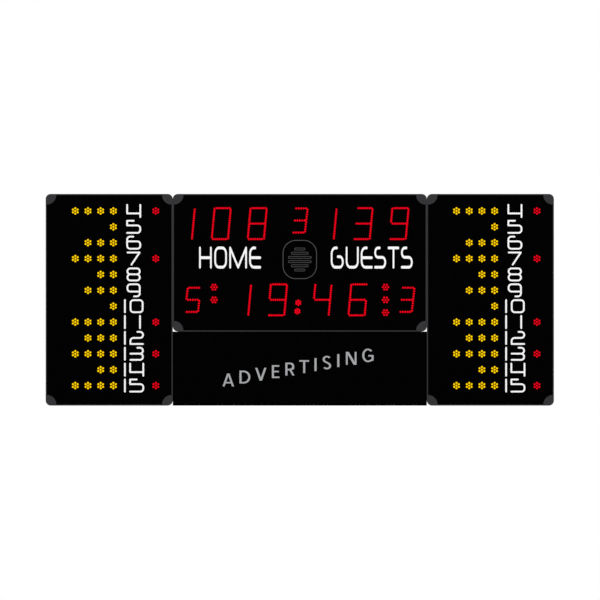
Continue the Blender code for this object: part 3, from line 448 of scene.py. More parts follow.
# across is the axis that the tray's leaf faces along, 0 for x and 2 for z, and facing its way along it
for side, across, facing in (("main", 2, 1), ("left", 0, -1), ("right", 0, 1)):
    paint_nodes(hinge_finish, *(f"{side}_{part}" for part in HINGE_PARTS))
    tray_leaf, door_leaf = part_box(f"{side}_tray_hinge_leaf"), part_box(f"{side}_door_hinge_leaf")
    along, inner = 2 - across, facing < 0
    outwards = [0, 0, 0]
    outwards[across] = facing
    tray_spot = [0.0, (front_of(f"{side}_tray") + tray_leaf[1][1]) / 2, 0.0]
    tray_spot[across] = tray_leaf[inner][across] + facing * LEAF_THICKNESS
    door_spot = [0.0, door_leaf[0][1] + LEAF_THICKNESS, 0.0]
    door_spot[across] = door_leaf[inner][across] + facing * LEAF_RIVET_INSET
    start, end = tray_leaf[0][along] + LEAF_RIVET_END, tray_leaf[1][along] - LEAF_RIVET_END
    door_rivets = []
    for place in spaced(start, end, LEAF_RIVET_PITCH):
        tray_spot[along] = door_spot[along] = place
        tray_rivets.append(at(tray_spot, outwards))
        door_rivets.append(at(door_spot, BACK))
    parts = [(turned(FLAT_RIVET, RIVET_SIDES), zinc, door_rivets)]
    assembled(f"{side}_door_hinge_rivets", f"{side}_door", parts)
parts = [(turned(LEAF_RIVET, RIVET_SIDES), zinc, tray_rivets)]
assembled("tray_hinge_rivets", "cabinets", parts)

# The power supply: a galvanised steel cage with pressed louvres, screwed together at its corners. A
# black barrier strip with nine clamp screws stands on the ledge along its foot.
SPANGLE_LOW, SPANGLE_HIGH, SPANGLES = (0.36, 0.37, 0.38), (0.46, 0.47, 0.48), 130.0
LEDGE, WAYS, WAY_PITCH = 0.014, 9, 0.0190
BARRIER_SIZE, BARRIER_WALL = (0.180, 0.0105, 0.0120), 0.0016
CLAMP_SCREW = ((0.0032, 0.0), (0.0032, 0.0016), (0.0028, 0.0022), (0.0012, 0.0024))
PAN_HEAD = ((0.0030, 0.0), (0.0030, 0.0010), (0.0024, 0.0018), (0.0011, 0.0021))
SCREW_SIDES, CAGE_SCREW_X, CAGE_SCREW_INSET = 14, 0.1000, 0.006
CAGE_LOUVRE, CAGE_LOUVRE_PITCH, CAGE_LOUVRES = (0.064, 0.0016, 0.0042), 0.0085, 9
CAGE_LOUVRE_X, CAGE_LOUVRE_PROUD = 0.046, 0.0003

cage = finish("galvanised_steel", SPANGLE_HIGH, (0.28, 0.48, 90.0), metallic=1.0)
where = cage.node_tree.nodes.new("ShaderNodeTexCoord")
spangle = cage.node_tree.nodes.new("ShaderNodeTexVoronoi")
spangle.inputs["Scale"].default_value = SPANGLES
cage.node_tree.links.new(where.outputs["Object"], spangle.inputs["Vector"])
shaded(cage, spangle.outputs["Color"], SPANGLE_LOW, SPANGLE_HIGH)
paint_nodes(cage, "power_supply")
clamp_plastic = finish("black_phenolic", (0.012, 0.012, 0.012), (0.34, 0.50, 900.0), specular=0.4)


def centred(count, pitch):
    """Offsets of a row about its middle."""
    return [(index - (count - 1) / 2) * pitch for index in range(count)]


low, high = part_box("power_supply")
supply_x, supply_y, _ = middle("power_supply")
strip_z, wall_y = low[2] + LEDGE / 2, supply_y - BARRIER_SIZE[1] / 2
walls = [at((supply_x + offset, wall_y, strip_z)) for offset in centred(WAYS + 1, WAY_PITCH)]
screws = [at((supply_x + offset, wall_y, strip_z), FRONT) for offset in centred(WAYS, WAY_PITCH)]
ribs, corners = [], []
for column in (-1, 1):
    for offset in centred(CAGE_LOUVRES, CAGE_LOUVRE_PITCH):
        z = (low[2] + LEDGE + high[2]) / 2 + offset
        ribs.append(at((supply_x + column * CAGE_LOUVRE_X, low[1] - CAGE_LOUVRE_PROUD, z)))
    for z in (low[2] + LEDGE + CAGE_SCREW_INSET, high[2] - CAGE_SCREW_INSET):
        corners.append(at((supply_x + column * CAGE_SCREW_X, low[1], z), FRONT))
base = (BARRIER_SIZE[0], BARRIER_SIZE[1] / 2, BARRIER_SIZE[2])
parts = [
    (block(base, edge=0.0005), clamp_plastic, [at((supply_x, supply_y - base[1] / 2, strip_z))]),
    (block((BARRIER_WALL, *BARRIER_SIZE[1:]), edge=0.0004), clamp_plastic, walls),
    (turned(CLAMP_SCREW, SCREW_SIDES), zinc, screws),
]
assembled("supply_terminals", "cabinets", parts)
parts = [(block(CAGE_LOUVRE, edge=0.0006), cage, ribs), (turned(PAN_HEAD, SCREW_SIDES), zinc, corners)]
assembled("supply_louvres_and_screws", "cabinets", parts)

# The control board, on its stand-offs in the centre cabinet: solder mask over copper, with a tinned can
# over the radio receiver, three white headers, chips, capacitors and a relay.
BOARD_THICK, HEADER_DEEP, CAN_DEEP, STAND_OFF, SHELL = 0.0016, 0.008, 0.004, 0.008, 0.0003
HEADER_SIZE = (0.048 + 2 * SHELL, HEADER_DEEP + SHELL, 0.016 + 2 * SHELL)
SOCKET_SIZE, SOCKETS, SOCKET_PITCH, SOCKET_ROW = (0.0020, 0.0004, 0.0020), 9, 0.0050, 0.0036
PASSIVE_BODY, PASSIVE_ENDS = (0.0022, 0.0009, 0.0013), (0.0030, 0.0005, 0.0012)
PASSIVE_PITCH, PASSIVE_LIFT = 0.0046, 0.0004
# The first one's x and z from the board's middle, and how many stand in the row
PASSIVE_ROWS = (
    (-0.100, 0.022, 9), (-0.100, -0.012, 7), (-0.100, -0.045, 9), (-0.040, 0.022, 4),
    (0.040, 0.026, 6), (0.040, -0.010, 4), (0.040, -0.030, 4), (-0.020, -0.054, 8),
)
CAN_SIZE = (0.064 + 2 * SHELL, CAN_DEEP + SHELL, 0.048 + 2 * SHELL)
CAN_LID, CAN_Z = (0.052, 0.0004, 0.036), -0.016
CHIP_SIZE, CHIP_LIFT = (0.0100, 0.0018, 0.0075), 0.0002
CHIP_SPOTS = ((-0.085, 0.004), (-0.085, -0.030), (-0.058, 0.004), (0.060, -0.045))
LEAD_SIZE, LEAD_PITCH, LEADS, LEAD_TUCK = (0.0005, 0.0006, 0.0016), 0.00127, 7, 0.0003
CAPACITOR = (
    (0.0050, 0.0), (0.0050, 0.0018), (0.0046, 0.0022),
    (0.0050, 0.0026), (0.0050, 0.0118), (0.0042, 0.0124),
)
CAPACITOR_TOP, CAPACITOR_SIDES = ((0.0040, 0.0120), (0.0039, 0.0126)), 20
CAPACITOR_SPOTS = ((0.055, 0.010), (0.070, 0.010), (0.100, -0.052))
RELAY_SIZE, RELAY_SPOTS = (0.0190, 0.0150, 0.0155), ((0.088, -0.008), (0.088, -0.028))
STUD_X, STUD_Z = 0.112, 0.067

mask = finish(
    "solder_mask", ((0.007, 0.070, 0.022), (0.014, 0.110, 0.038), 300.0), (0.28, 0.42, 900.0), specular=0.4
)
paint_nodes(mask, "control_board")
epoxy = finish("black_epoxy", (0.010, 0.010, 0.011), (0.44, 0.60, 1500.0), specular=0.3)
tin = finish("tin_plate", ((0.59, 0.59, 0.57), (0.65, 0.65, 0.63), 350.0), (0.22, 0.40, 200.0), metallic=1.0)
white_nylon = finish(
    "white_nylon", ((0.66, 0.65, 0.60), (0.74, 0.73, 0.68), 130.0), (0.38, 0.52, 1000.0), specular=0.4
)
sleeve = finish("blue_sleeve", ((0.010, 0.024, 0.075), (0.015, 0.036, 0.105), 260.0), 0.35, specular=0.4)
relay_blue = finish("relay_blue", ((0.017, 0.080, 0.235), (0.023, 0.100, 0.285), 180.0), 0.40, specular=0.4)


def leads_of(chips, back_y, forwards):
    """Places of the leads on both long edges of each chip. forwards is the way its top faces along Y."""
    y = back_y + forwards * LEAD_SIZE[1] / 2
    reach = CHIP_SIZE[2] / 2 + LEAD_SIZE[2] / 2 - LEAD_TUCK
    return [
        at((x + offset, y, z + edge * reach))
        for x, z in chips
        for edge in (-1, 1)
        for offset in centred(LEADS, LEAD_PITCH)
    ]


low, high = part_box("control_board")
board_x, _, board_z = middle("control_board")
board_y = high[1] - STAND_OFF - BOARD_THICK
header_xs = [board_x + index * (high[0] - low[0]) / 3 for index in (-1, 0, 1)]
headers = [at((x, board_y - HEADER_SIZE[1] / 2, high[2] - 2 * STAND_OFF)) for x in header_xs]
sockets = [
    place @ at((offset, -HEADER_SIZE[1] / 2, row * SOCKET_ROW))
    for place in headers
    for offset in centred(SOCKETS, SOCKET_PITCH)
    for row in (-1, 1)
]
passives = [
    at((board_x + x + step * PASSIVE_PITCH, board_y - PASSIVE_LIFT, board_z + z))
    for x, z, count in PASSIVE_ROWS
    for step in range(count)
]
chips = [(board_x + x, board_z + z) for x, z in CHIP_SPOTS]
chip_y = board_y - CHIP_LIFT - CHIP_SIZE[1] / 2
studs = [
    at((board_x + side * STUD_X, board_y, board_z + end * STUD_Z), FRONT)
    for side in (-1, 1)
    for end in (-1, 1)
]
cans = [at((board_x + x, board_y, board_z + z), FRONT) for x, z in CAPACITOR_SPOTS]
relays = [at((board_x + x, board_y - RELAY_SIZE[1] / 2, board_z + z)) for x, z in RELAY_SPOTS]
parts = [
    (block(HEADER_SIZE, edge=0.0006), white_nylon, headers),
    (block(SOCKET_SIZE), epoxy, sockets),
    (block(PASSIVE_BODY), epoxy, passives),
    (block(PASSIVE_ENDS), tin, passives),
    (block(CAN_SIZE, edge=0.0008), tin, [at((board_x, board_y - CAN_SIZE[1] / 2, board_z + CAN_Z))]),
    (block(CAN_LID, edge=0.00015), tin, [at((board_x, board_y - CAN_SIZE[1], board_z + CAN_Z))]),
    (block(CHIP_SIZE, edge=0.0002), epoxy, [at((x, chip_y, z)) for x, z in chips]),
    (block(LEAD_SIZE), tin, leads_of(chips, board_y, -1)),
    (turned(PAN_HEAD, SCREW_SIDES), zinc, studs),
    (turned(CAPACITOR, CAPACITOR_SIDES), sleeve, cans),
    (turned(CAPACITOR_TOP, CAPACITOR_SIDES), tin, cans),
    (block(RELAY_SIZE, edge=0.0006), relay_blue, relays),
]
assembled("control_board_parts", "cabinets", parts)

# The mains inlet and its rocker: moulded black nylon under the left cabinet, with brass blades, two
# screws through its ears and the usual I and O raised on the rocker.
BLADES = ((-0.007, -0.002, 0.002, 0.004), (0.007, -0.002, 0.002, 0.004), (0.0, 0.004, 0.004, 0.002))
SOCKET_X, SOCKET_DEPTH, BLADE_LENGTH, BLADE_SHELL = -0.013, 0.016, 0.0128, 0.00015
EAR_X, EAR_SCREW = 0.0318, ((0.0016, 0.0), (0.0016, 0.0004), (0.0010, 0.0007))
MARK_PROUD, MARK_SINK = 0.00025, 0.0002
MARK_DEEP = MARK_PROUD + MARK_SINK
BAR_MARK, RING_MARK, RING_SIDES, MARK_PEN = (0.0008, 0.0050, MARK_DEEP), 0.0024, 24, 0.0008
SPECK = 1e-6

nylon = finish("black_nylon", (0.010, 0.010, 0.010), (0.40, 0.55, 1500.0), specular=0.3, relief=0.00003)
paint_nodes(nylon, "power_inlet", "power_rocker")
brass = finish("brass", ((0.52, 0.38, 0.14), (0.64, 0.48, 0.20), 500.0), 0.28, metallic=1.0)
mark_white = finish("mark_white", ((0.74, 0.74, 0.72), (0.84, 0.84, 0.82), 900.0), 0.50, specular=0.3)

inlet_low, inlet_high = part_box("power_inlet")
inlet_x, inlet_y, _ = middle("power_inlet")
blade_z = inlet_low[2] + SOCKET_DEPTH - BLADE_LENGTH / 2
parts = []
for x, y, wide, deep in BLADES:
    blade = block([side + 2 * BLADE_SHELL for side in (wide, deep, BLADE_LENGTH)], edge=0.0004)
    parts.append((blade, brass, [at((inlet_x + SOCKET_X + x, inlet_y + y, blade_z))]))
ears = [at((inlet_x + side * EAR_X, inlet_y, inlet_low[2]), DOWN) for side in (-1, 1)]
parts.append((turned(EAR_SCREW, RIVET_SIDES), zinc, ears))
assembled("inlet_blades_and_screws", "cabinets", parts)


def thickened(bm, face, rim, rise):
    """Makes a face a ring, rim wide inwards from its edge, and moves a copy of it by rise to close it."""
    band = bmesh.ops.inset_region(
        bm, faces=[face], thickness=rim, use_even_offset=True, use_boundary=True
    )["faces"]
    bmesh.ops.delete(bm, geom=[face], context="FACES")
    grown = bmesh.ops.extrude_face_region(bm, geom=band, use_keep_orig=True)["geom"]
    lifted = [item for item in grown if isinstance(item, bmesh.types.BMVert)]
    bmesh.ops.translate(bm, verts=lifted, vec=rise)


ring = bmesh.new()
sunk = at((0.0, 0.0, -MARK_DEEP / 2))
bmesh.ops.create_circle(ring, cap_ends=True, radius=RING_MARK, segments=RING_SIDES, matrix=sunk)
thickened(ring, ring.faces[:][0], MARK_PEN, (0.0, 0.0, MARK_DEEP))
bmesh.ops.recalc_face_normals(ring, faces=ring.faces)
ends = {}
for polygon in frame["nodes"]["power_rocker"].data.polygons:
    if polygon.normal.z < -0.5 and polygon.area > SPECK:
        ends.setdefault(tuple(round(part, 3) for part in polygon.normal), []).append(polygon)
parts = []
marks = (block(BAR_MARK, edge=0.0001), mesh_of(ring))
for mesh, normal in zip(marks, sorted(ends, key=lambda normal: normal[1])):
    area = sum(polygon.area for polygon in ends[normal])
    center = sum((polygon.area * polygon.center for polygon in ends[normal]), Vector()) / area
    place = at(center + Vector(normal) * (MARK_PROUD - MARK_SINK) / 2, normal)
    parts.append((mesh, mark_white, [place]))
assembled("rocker_marks", "rocker", parts)

# The horn driver: a pressed basket sprayed matt black, so that nothing shows through the slots. Behind
# it are the magnet's plated plate and the screws round its flange.
MAGNET_PLATE = (
    (0.0556, -0.0060), (0.0556, 0.0002), (0.0548, 0.0010),
    (0.0200, 0.0010), (0.0190, 0.0022), (0.0040, 0.0022),
)
MAGNET_SIDES, FLANGE, FLANGE_SCREW_RADIUS, FLANGE_SCREWS = 48, 0.003, 0.1035, 8

horn_black = finish(
    "matt_black_basket",
    ((0.0012, 0.0012, 0.0013), (0.0022, 0.0022, 0.0023), 80.0),
    (0.55, 0.72, 600.0),
    specular=0.05,
)
paint_nodes(horn_black, "horn_driver")
low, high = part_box("horn_driver")
horn_x, _, horn_z = middle("horn_driver")
round_flange = []
for index in range(FLANGE_SCREWS):
    angle = 2 * math.pi * (index + 0.5) / FLANGE_SCREWS
    x, z = FLANGE_SCREW_RADIUS * math.cos(angle), FLANGE_SCREW_RADIUS * math.sin(angle)
    round_flange.append(at((horn_x + x, low[1] + FLANGE, horn_z + z), BACK))
parts = [
    (turned(MAGNET_PLATE, MAGNET_SIDES), zinc, [at((horn_x, high[1], horn_z), BACK)]),
    (turned(PAN_HEAD, SCREW_SIDES), zinc, round_flange),
]
assembled("horn_magnet_and_screws", "main_door", parts)

# The front frames: folded sheet in a satin dark grey powder coat, whose fine orange peel softens
# what it reflects. Countersunk screws along the skirts hold the faces.
SKIRT_SCREW = ((0.0030, -0.0010), (0.0030, 0.0001), (0.0026, 0.0003), (0.0010, 0.0002))
SKIRT_SCREW_PITCH, SKIRT_SCREW_END, SKIRT_SCREW_BACK = 0.230, 0.120, 0.012
LEFT, RIGHT = (-1, 0, 0), (1, 0, 0)

frame_finish = finish(
    "grey_powder_coat",
    ((0.0315, 0.0315, 0.0340), (0.0355, 0.0355, 0.0380), 700.0),
    (0.42, 0.55, 30.0),
    specular=0.05,
    relief=0.00003,
)
blacked = finish("blacked_screw", ((0.024, 0.024, 0.026), (0.038, 0.038, 0.040), 700.0), 0.35, metallic=0.9)
for side in SIDES:
    paint_nodes(frame_finish, f"{side}_front_frame")
    low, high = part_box(f"{side}_front_frame")
    y = low[1] + SKIRT_SCREW_BACK
    screws = []
    for x in spaced(low[0] + SKIRT_SCREW_END, high[0] - SKIRT_SCREW_END, SKIRT_SCREW_PITCH):
        screws += [at((x, y, high[2]), UP), at((x, y, low[2]), DOWN)]
    if side != "main":
        x, outwards = (low[0], LEFT) if side == "left" else (high[0], RIGHT)
        for z in spaced(low[2] + SKIRT_SCREW_END, high[2] - SKIRT_SCREW_END, SKIRT_SCREW_PITCH):
            screws.append(at((x, y, z), outwards))
    parts = [(turned(SKIRT_SCREW, SCREW_SIDES), blacked, screws)]
    assembled(f"{side}_skirt_screws", f"{side}_door", parts)

# The corner caps: quarter rounds, four to each front, moulded from dark grey plastic in a spark-eroded
# tool that leaves a fine matt texture. They are pressed over the corners of the frames.
cap_finish = finish(
    "cap_moulding",
    ((0.0300, 0.0300, 0.0325), (0.0330, 0.0330, 0.0355), 60.0),
    (0.55, 0.68, 1800.0),
    specular=0.05,
    relief=0.00004,
)
for side in SIDES:
    for end in ("top", "bottom"):
        paint_nodes(cap_finish, f"{side}_cap_{end}_left", f"{side}_cap_{end}_right")

# The faces: matt black sheet, dead flat, with a fine tooth that keeps hall lights from glaring. The sheet
# has a plain grey coat on its back, inside the cabinets.
BACK_COAT, BACK_COAT_Y = (0.100, 0.100, 0.105), -0.0836

face_finish = finish(
    "matt_black_sheet",
    ((0.0003, 0.0003, 0.0003), (0.0006, 0.0006, 0.0006), 12.0),
    (0.55, 0.70, 2200.0),
    specular=0.004,
    relief=0.00002,
)
coated = face_finish.copy()
coated.name = "matt_black_sheet_with_grey_back"
tree = coated.node_tree
colour_socket = tree.nodes["Principled BSDF"].inputs["Base Color"]
where = tree.nodes.new("ShaderNodeTexCoord")
split = tree.nodes.new("ShaderNodeSeparateXYZ")
behind = tree.nodes.new("ShaderNodeMath")
behind.operation = "GREATER_THAN"
behind.inputs[1].default_value = BACK_COAT_Y
choice = tree.nodes.new("ShaderNodeMix")
choice.data_type = "RGBA"
front_colour, back_colour = (socket for socket in choice.inputs if socket.type == "RGBA")
back_colour.default_value = (*BACK_COAT, 1.0)
tree.links.new(colour_socket.links[0].from_socket, front_colour)
tree.links.new(where.outputs["Object"], split.inputs[0])
tree.links.new(split.outputs["Y"], behind.inputs[0])
tree.links.new(behind.outputs[0], choice.inputs[0])
tree.links.new(next(socket for socket in choice.outputs if socket.type == "RGBA"), colour_socket)
paint_nodes(coated, *(f"{side}_face" for side in SIDES))

# The lamp modules: smoked windows moulded with a raised bar round each row of lamps. Ten of the digits
# are 250 mm high and three 200 mm.
BIG_DIGITS = {
    "home_score_hundreds": "1",
    "home_score_tens": "0",
    "home_score_units": "8",
    "guest_score_hundreds": "1",
    "guest_score_tens": "3",
    "guest_score_units": "9",
    "timer_minutes_tens": "1",
    "timer_minutes_units": "9",
    "timer_seconds_tens": "4",
    "timer_seconds_units": "6",
}
SMALL_DIGITS = {"period_digit": "3", "home_fouls_digit": "5", "guest_fouls_digit": "3"}
LAMP_ROWS = ("timer_colon", "home_time_out_lamps", "guest_time_out_lamps")

smoked = finish(
    "smoked_window",
    ((0.0003, 0.0003, 0.0003), (0.0006, 0.0005, 0.0005), 25.0),
    (0.28, 0.45, 120.0),
    specular=0.004,
)
paint_nodes(smoked, *BIG_DIGITS, *SMALL_DIGITS, *LAMP_ROWS, "left_player_lamps", "right_player_lamps")

# The lamps: diffused LEDs 15.5 mm across, each a shallow dome that stands out of its bar. Lit ones glow
# evenly to the rim, and unlit ones are smoked black, so that only the lit figures read.
LAMP_RADIUS, LAMP_SIDES, LAMP_SUNK, LAMP_CROWN = 0.00775, 12, 0.0002, 0.0001
LIT_PROFILE = ((1.0, 0.0005), (0.80, 0.0011), (0.45, 0.0015))
DARK_PROFILE = ((1.0, 0.0002), (0.80, 0.0004), (0.45, 0.0006))
RED, YELLOW = (0.830, 0.0, 0.0105), (0.960, 0.600, 0.0)
RED_GLOW, YELLOW_GLOW = 1.04, 1.14
LAMP_BODY, GLOW_LOW, GLOW_HIGH, GLOW_GRAINS = 0.01, 0.97, 1.03, 45.0


def scaled(colour, share):
    return tuple(share * part for part in colour)


def lamp_finish(name, colour, glow):
    made = finish(name, scaled(colour, LAMP_BODY), 0.50, specular=0.01)
    made.node_tree.nodes["Principled BSDF"].inputs["Emission Strength"].default_value = glow
    field = grain(made, GLOW_GRAINS)
    shaded(made, field, scaled(colour, GLOW_LOW), scaled(colour, GLOW_HIGH), "Emission Color")
    return made


red_lamp = lamp_finish("lit_red_lamp", RED, RED_GLOW)
yellow_lamp = lamp_finish("lit_yellow_lamp", YELLOW, YELLOW_GLOW)
dark_lamp = finish(
    "unlit_lamp",
    ((0.0004, 0.0003, 0.0003), (0.0007, 0.0005, 0.0005), 45.0),
    (0.25, 0.40, 300.0),
    specular=0.004,
)


def lamp_dome(profile):
    """One lamp facing -Y, turned from its section about Y."""
    rings = [(LAMP_RADIUS, LAMP_SUNK)] + [(LAMP_RADIUS * share, -height) for share, height in profile]
    bm = spun([(radius, y, 0.0) for radius, y in rings], BACK, LAMP_SIDES)
    crown = [face for face in bm.faces if len(face.verts) == LAMP_SIDES and face.calc_center_median().y < 0]
    bmesh.ops.poke(bm, faces=crown, offset=LAMP_CROWN)
    for face in bm.faces:
        face.smooth = len(face.verts) < LAMP_SIDES
    return mesh_of(bm)


lamp_places = {}


def lamp_group(name, places, front_y, lit_finish, body):
    """All lamps of one module in one piece. places are (x, z, lit)."""
    lamp_places.setdefault(body, []).extend((x, z) for x, z, _ in places)
    bm = bmesh.new()
    for lit, profile in ((True, LIT_PROFILE), (False, DARK_PROFILE)):
        dome = lamp_dome(profile)
        for polygon in dome.polygons:
            polygon.material_index = 0 if lit else 1
        here = Vector()
        for x, z, is_lit in places:
            if is_lit is lit:
                there = Vector((x, front_y, z))
                dome.transform(at(there - here))
                here = there
                bm.from_mesh(dome)
        bpy.data.meshes.remove(dome)
    piece(name, mesh_of(bm), body, [lit_finish, dark_lamp], sharp=None)


# The digits: seven bars each, lit as the figure needs. The figures lean to the right. Seven lamps
# make a bar of a 250 mm digit, and five one of a 200 mm digit.
BAR_NAMES = ("top", "middle", "bottom", "upper_left", "lower_left", "upper_right", "lower_right")
UNLIT_BARS = {
    "0": ("middle",),
    "1": ("top", "middle", "bottom", "upper_left", "lower_left"),
    "3": ("upper_left", "lower_left"),
    "4": ("top", "bottom", "lower_left"),
    "5": ("lower_left", "upper_right"),
    "6": ("upper_right",),
    "8": (),
    "9": ("lower_left",),
}
# row, left and right are the (pitch, shift) of lamps: upright bars shift up, and lying ones sideways
BIG_BARS = {
    "half_width": 0.0613, "half_height": 0.117, "slant": 0.092, "count": 7,
    "row": (0.01625, 0.0035), "left": (0.0163, 0.0055), "right": (0.0168, -0.0027),
}
SMALL_BARS = {
    "half_width": 0.0489, "half_height": 0.0914, "slant": 0.111, "count": 5,
    "row": (0.01835, 0.0), "left": (0.01835, 0.0), "right": (0.01835, 0.0),
}


def row_of_lamps(center, direction, pitch, count):
    along = Vector(direction).normalized()
    return [Vector(center) + offset * along for offset in centred(count, pitch)]


def digit_lamps(half_width, half_height, slant, count, row, left, right):
    """Lamp places of each bar of a digit about the origin."""
    bars = []
    for level in (1, 0, -1):
        z = level * half_height
        bars.append(row_of_lamps((slant * z + level * row[1], z), (1, 0), row[0], count))
    for side, (pitch, shift) in ((-1, left), (1, right)):
        for level in (1, -1):
            z = level * half_height / 2 + shift
            bars.append(row_of_lamps((side * half_width + slant * z, z), (slant, 1), pitch, count))
    return dict(zip(BAR_NAMES, bars))


for digits, bars in ((BIG_DIGITS, digit_lamps(**BIG_BARS)), (SMALL_DIGITS, digit_lamps(**SMALL_BARS))):
    for name, figure in digits.items():
        x, _, z = middle(name)
        unlit = UNLIT_BARS[figure]
        places = [
            (x + lamp.x, z + lamp.y, bar not in unlit) for bar, lamps in bars.items() for lamp in lamps
        ]
        lamp_group(f"{name}_lamps", places, front_of(name), red_lamp, "main_door")

# The round lamps: one in the middle and six about it. They make the timer's colon, the time-outs
# taken by each team, and the rows of player fouls on the side cabinets.
CLUSTER_RING, LAMP_BESIDE, LAMP_ABOVE = 0.0203, 0, 30
COLON_RING, COLON_PITCH, COLON_SHIFT = 0.0163, 0.065, 0.0034
TIME_OUTS, TIME_OUTS_TAKEN, TIME_OUT_PITCH = 3, {"home": 2, "guest": 3}, 0.096
LEFT_EDGE_TO_YELLOW, YELLOW_PITCH, YELLOWS, RIGHT_EDGE_TO_RED = 0.2238, 0.096, 4, 0.1276
PLAYERS, FIRST_ROW, ROW_PITCH = tuple(range(4, 16)), 0.1284, 0.120
FOULS = (4, 1, 3, 4, 2, 3, 1, 4, 3, 4, 2, 4)
RED_PLAYERS = (4, 7, 11, 13, 15)


def cluster(x, z, ring, first_angle, lit):
    angles = [math.radians(first_angle + 60 * index) for index in range(6)]
    return [(x, z, lit)] + [(x + ring * math.cos(angle), z + ring * math.sin(angle), lit) for angle in angles]


x, _, z = middle("timer_colon")
places = []
for side in (1, -1):
    places += cluster(x + side * COLON_SHIFT, z + side * COLON_PITCH / 2, COLON_RING, LAMP_ABOVE, True)
lamp_group("timer_colon_lamps", places, front_of("timer_colon"), red_lamp, "main_door")

for team, taken in TIME_OUTS_TAKEN.items():
    x, _, z = middle(f"{team}_time_out_lamps")
    front_y = front_of(f"{team}_time_out_lamps")
    places = []
    for index in range(TIME_OUTS):
        level = z + (1 - index) * TIME_OUT_PITCH
        places += cluster(x, level, CLUSTER_RING, LAMP_BESIDE, index < taken)
    lamp_group(f"{team}_time_out_clusters", places, front_y, red_lamp, "main_door")

for side in ("left", "right"):
    low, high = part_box(f"{side}_front_frame")
    front_y = front_of(f"{side}_player_lamps")
    yellows, reds = [], []
    for row, player in enumerate(PLAYERS):
        z = high[2] - FIRST_ROW - row * ROW_PITCH
        for column in range(YELLOWS):
            x = low[0] + LEFT_EDGE_TO_YELLOW + column * YELLOW_PITCH
            yellows += cluster(x, z, CLUSTER_RING, LAMP_ABOVE, column >= YELLOWS - FOULS[row])
        x = high[0] - RIGHT_EDGE_TO_RED
        reds += cluster(x, z, CLUSTER_RING, LAMP_ABOVE, player in RED_PLAYERS)
    lamp_group(f"{side}_foul_lamps", yellows, front_y, yellow_lamp, f"{side}_door")
    lamp_group(f"{side}_exclusion_lamps", reds, front_y, red_lamp, f"{side}_door")

# The modules' boards: green fibreglass screwed to the back of every window, with two solder joints for
# each lamp, driver chips, a capacitor and a white header. The side cabinets have a strip to each row.
JOINT, JOINT_SIDES, JOINT_SPREAD = ((0.0010, 0.0), (0.0004, 0.0010)), 5, 0.00127
MODULE_INSET, BOARD_SUNK = 0.0142, 0.0001
UPRIGHT_HEADER, LYING_HEADER, HEADER_WALL = (0.009, 0.008, 0.030), (0.014, 0.008, 0.009), 0.0010
HEADER_HOLLOW, RIBBON_DEPTH = 0.7, 0.6
CHIP_SHARE, SCREW_SHARE = (0.15, 0.25), (0.28, 0.39)
TIME_OUT_GAP, TIME_OUT_SCREW, COLON_SCREW = 0.048, 0.020, 0.0545
STRIP_OVERRUN, STRIP_HEIGHT, STRIP_SCREW = 0.034, 0.052, 0.006
RIBBON_WIDTH, ROW_RIBBON_WIDTH, RIBBON_THICK, RIBBON_BOW, RIBBON_STEPS = 0.0254, 0.01143, 0.0012, 0.007, 8
BETWEEN_SCORES_AND_TIMER, SMALL_CAN_SIDES = -0.4, 12
SPOT_KINDS = ("chips", "upright_headers", "lying_headers", "screws", "capacitors")

ribbon_grey = finish("ribbon_cable", ((0.26, 0.26, 0.26), (0.34, 0.34, 0.34), 500.0), 0.50, specular=0.3)


def header(size):
    """A nylon header about the origin, open to the back, with its hollow inset from its edges."""
    bm = box_of(size)
    front = [face for face in bm.faces if face.normal.y < -0.5]
    bmesh.ops.inset_region(bm, faces=front, thickness=HEADER_WALL, use_even_offset=True)
    bmesh.ops.translate(bm, verts=list(front[0].verts), vec=(0.0, size[1] * HEADER_HOLLOW, 0.0))
    bmesh.ops.rotate(bm, verts=bm.verts, matrix=Matrix.Rotation(math.pi, 3, "Z"))
    return mesh_of(bm)


def ribbon(spots, across):
    """A flat cable through spots, bowed out behind the board between them. across is half its width."""
    bm = bmesh.new()
    rows = []
    for start, end in zip(spots, spots[1:]):
        for step in range(RIBBON_STEPS + (end is spots[-1])):
            share = step / RIBBON_STEPS
            spot = start.lerp(end, share) + Vector((0.0, RIBBON_BOW * math.sin(math.pi * share), 0.0))
            back = spot + Vector((0.0, RIBBON_THICK, 0.0))
            corners = (spot - across, spot + across, back + across, back - across)
            rows.append([bm.verts.new(corner) for corner in corners])
    for before, after in zip(rows, rows[1:]):
        for index in range(4):
            following = (index + 1) % 4
            bm.faces.new((before[index], before[following], after[following], after[index]))
    bm.faces.new(rows[0])
    bm.faces.new(rows[-1])
    bmesh.ops.recalc_face_normals(bm, faces=bm.faces)
    return mesh_of(bm)


def circuit(name, body, slabs, spots, board_back):
    """One piece of boards and what is soldered on their backs. spots are lists of (x, z) by kind."""
    header_y = board_back + UPRIGHT_HEADER[1] / 2
    chip_y = board_back + CHIP_LIFT + CHIP_SIZE[1] / 2
    joints = [
        at((x, board_back, z + side * JOINT_SPREAD), BACK) for x, z in lamp_places[body] for side in (-1, 1)
    ]
    screws, cans = (
        [at((x, board_back, z), BACK) for x, z in spots[kind]] for kind in ("screws", "capacitors")
    )
    parts = slabs + [
        (turned(JOINT, JOINT_SIDES), tin, joints),
        (block(CHIP_SIZE), epoxy, [at((x, chip_y, z)) for x, z in spots["chips"]]),
        (block(LEAD_SIZE), tin, leads_of(spots["chips"], board_back, 1)),
        (header(UPRIGHT_HEADER), white_nylon, [at((x, header_y, z)) for x, z in spots["upright_headers"]]),
        (header(LYING_HEADER), white_nylon, [at((x, header_y, z)) for x, z in spots["lying_headers"]]),
        (turned(PAN_HEAD, SCREW_SIDES), zinc, screws),
        (turned(CAPACITOR, SMALL_CAN_SIDES), sleeve, cans),
    ]
    assembled(name, body, parts)


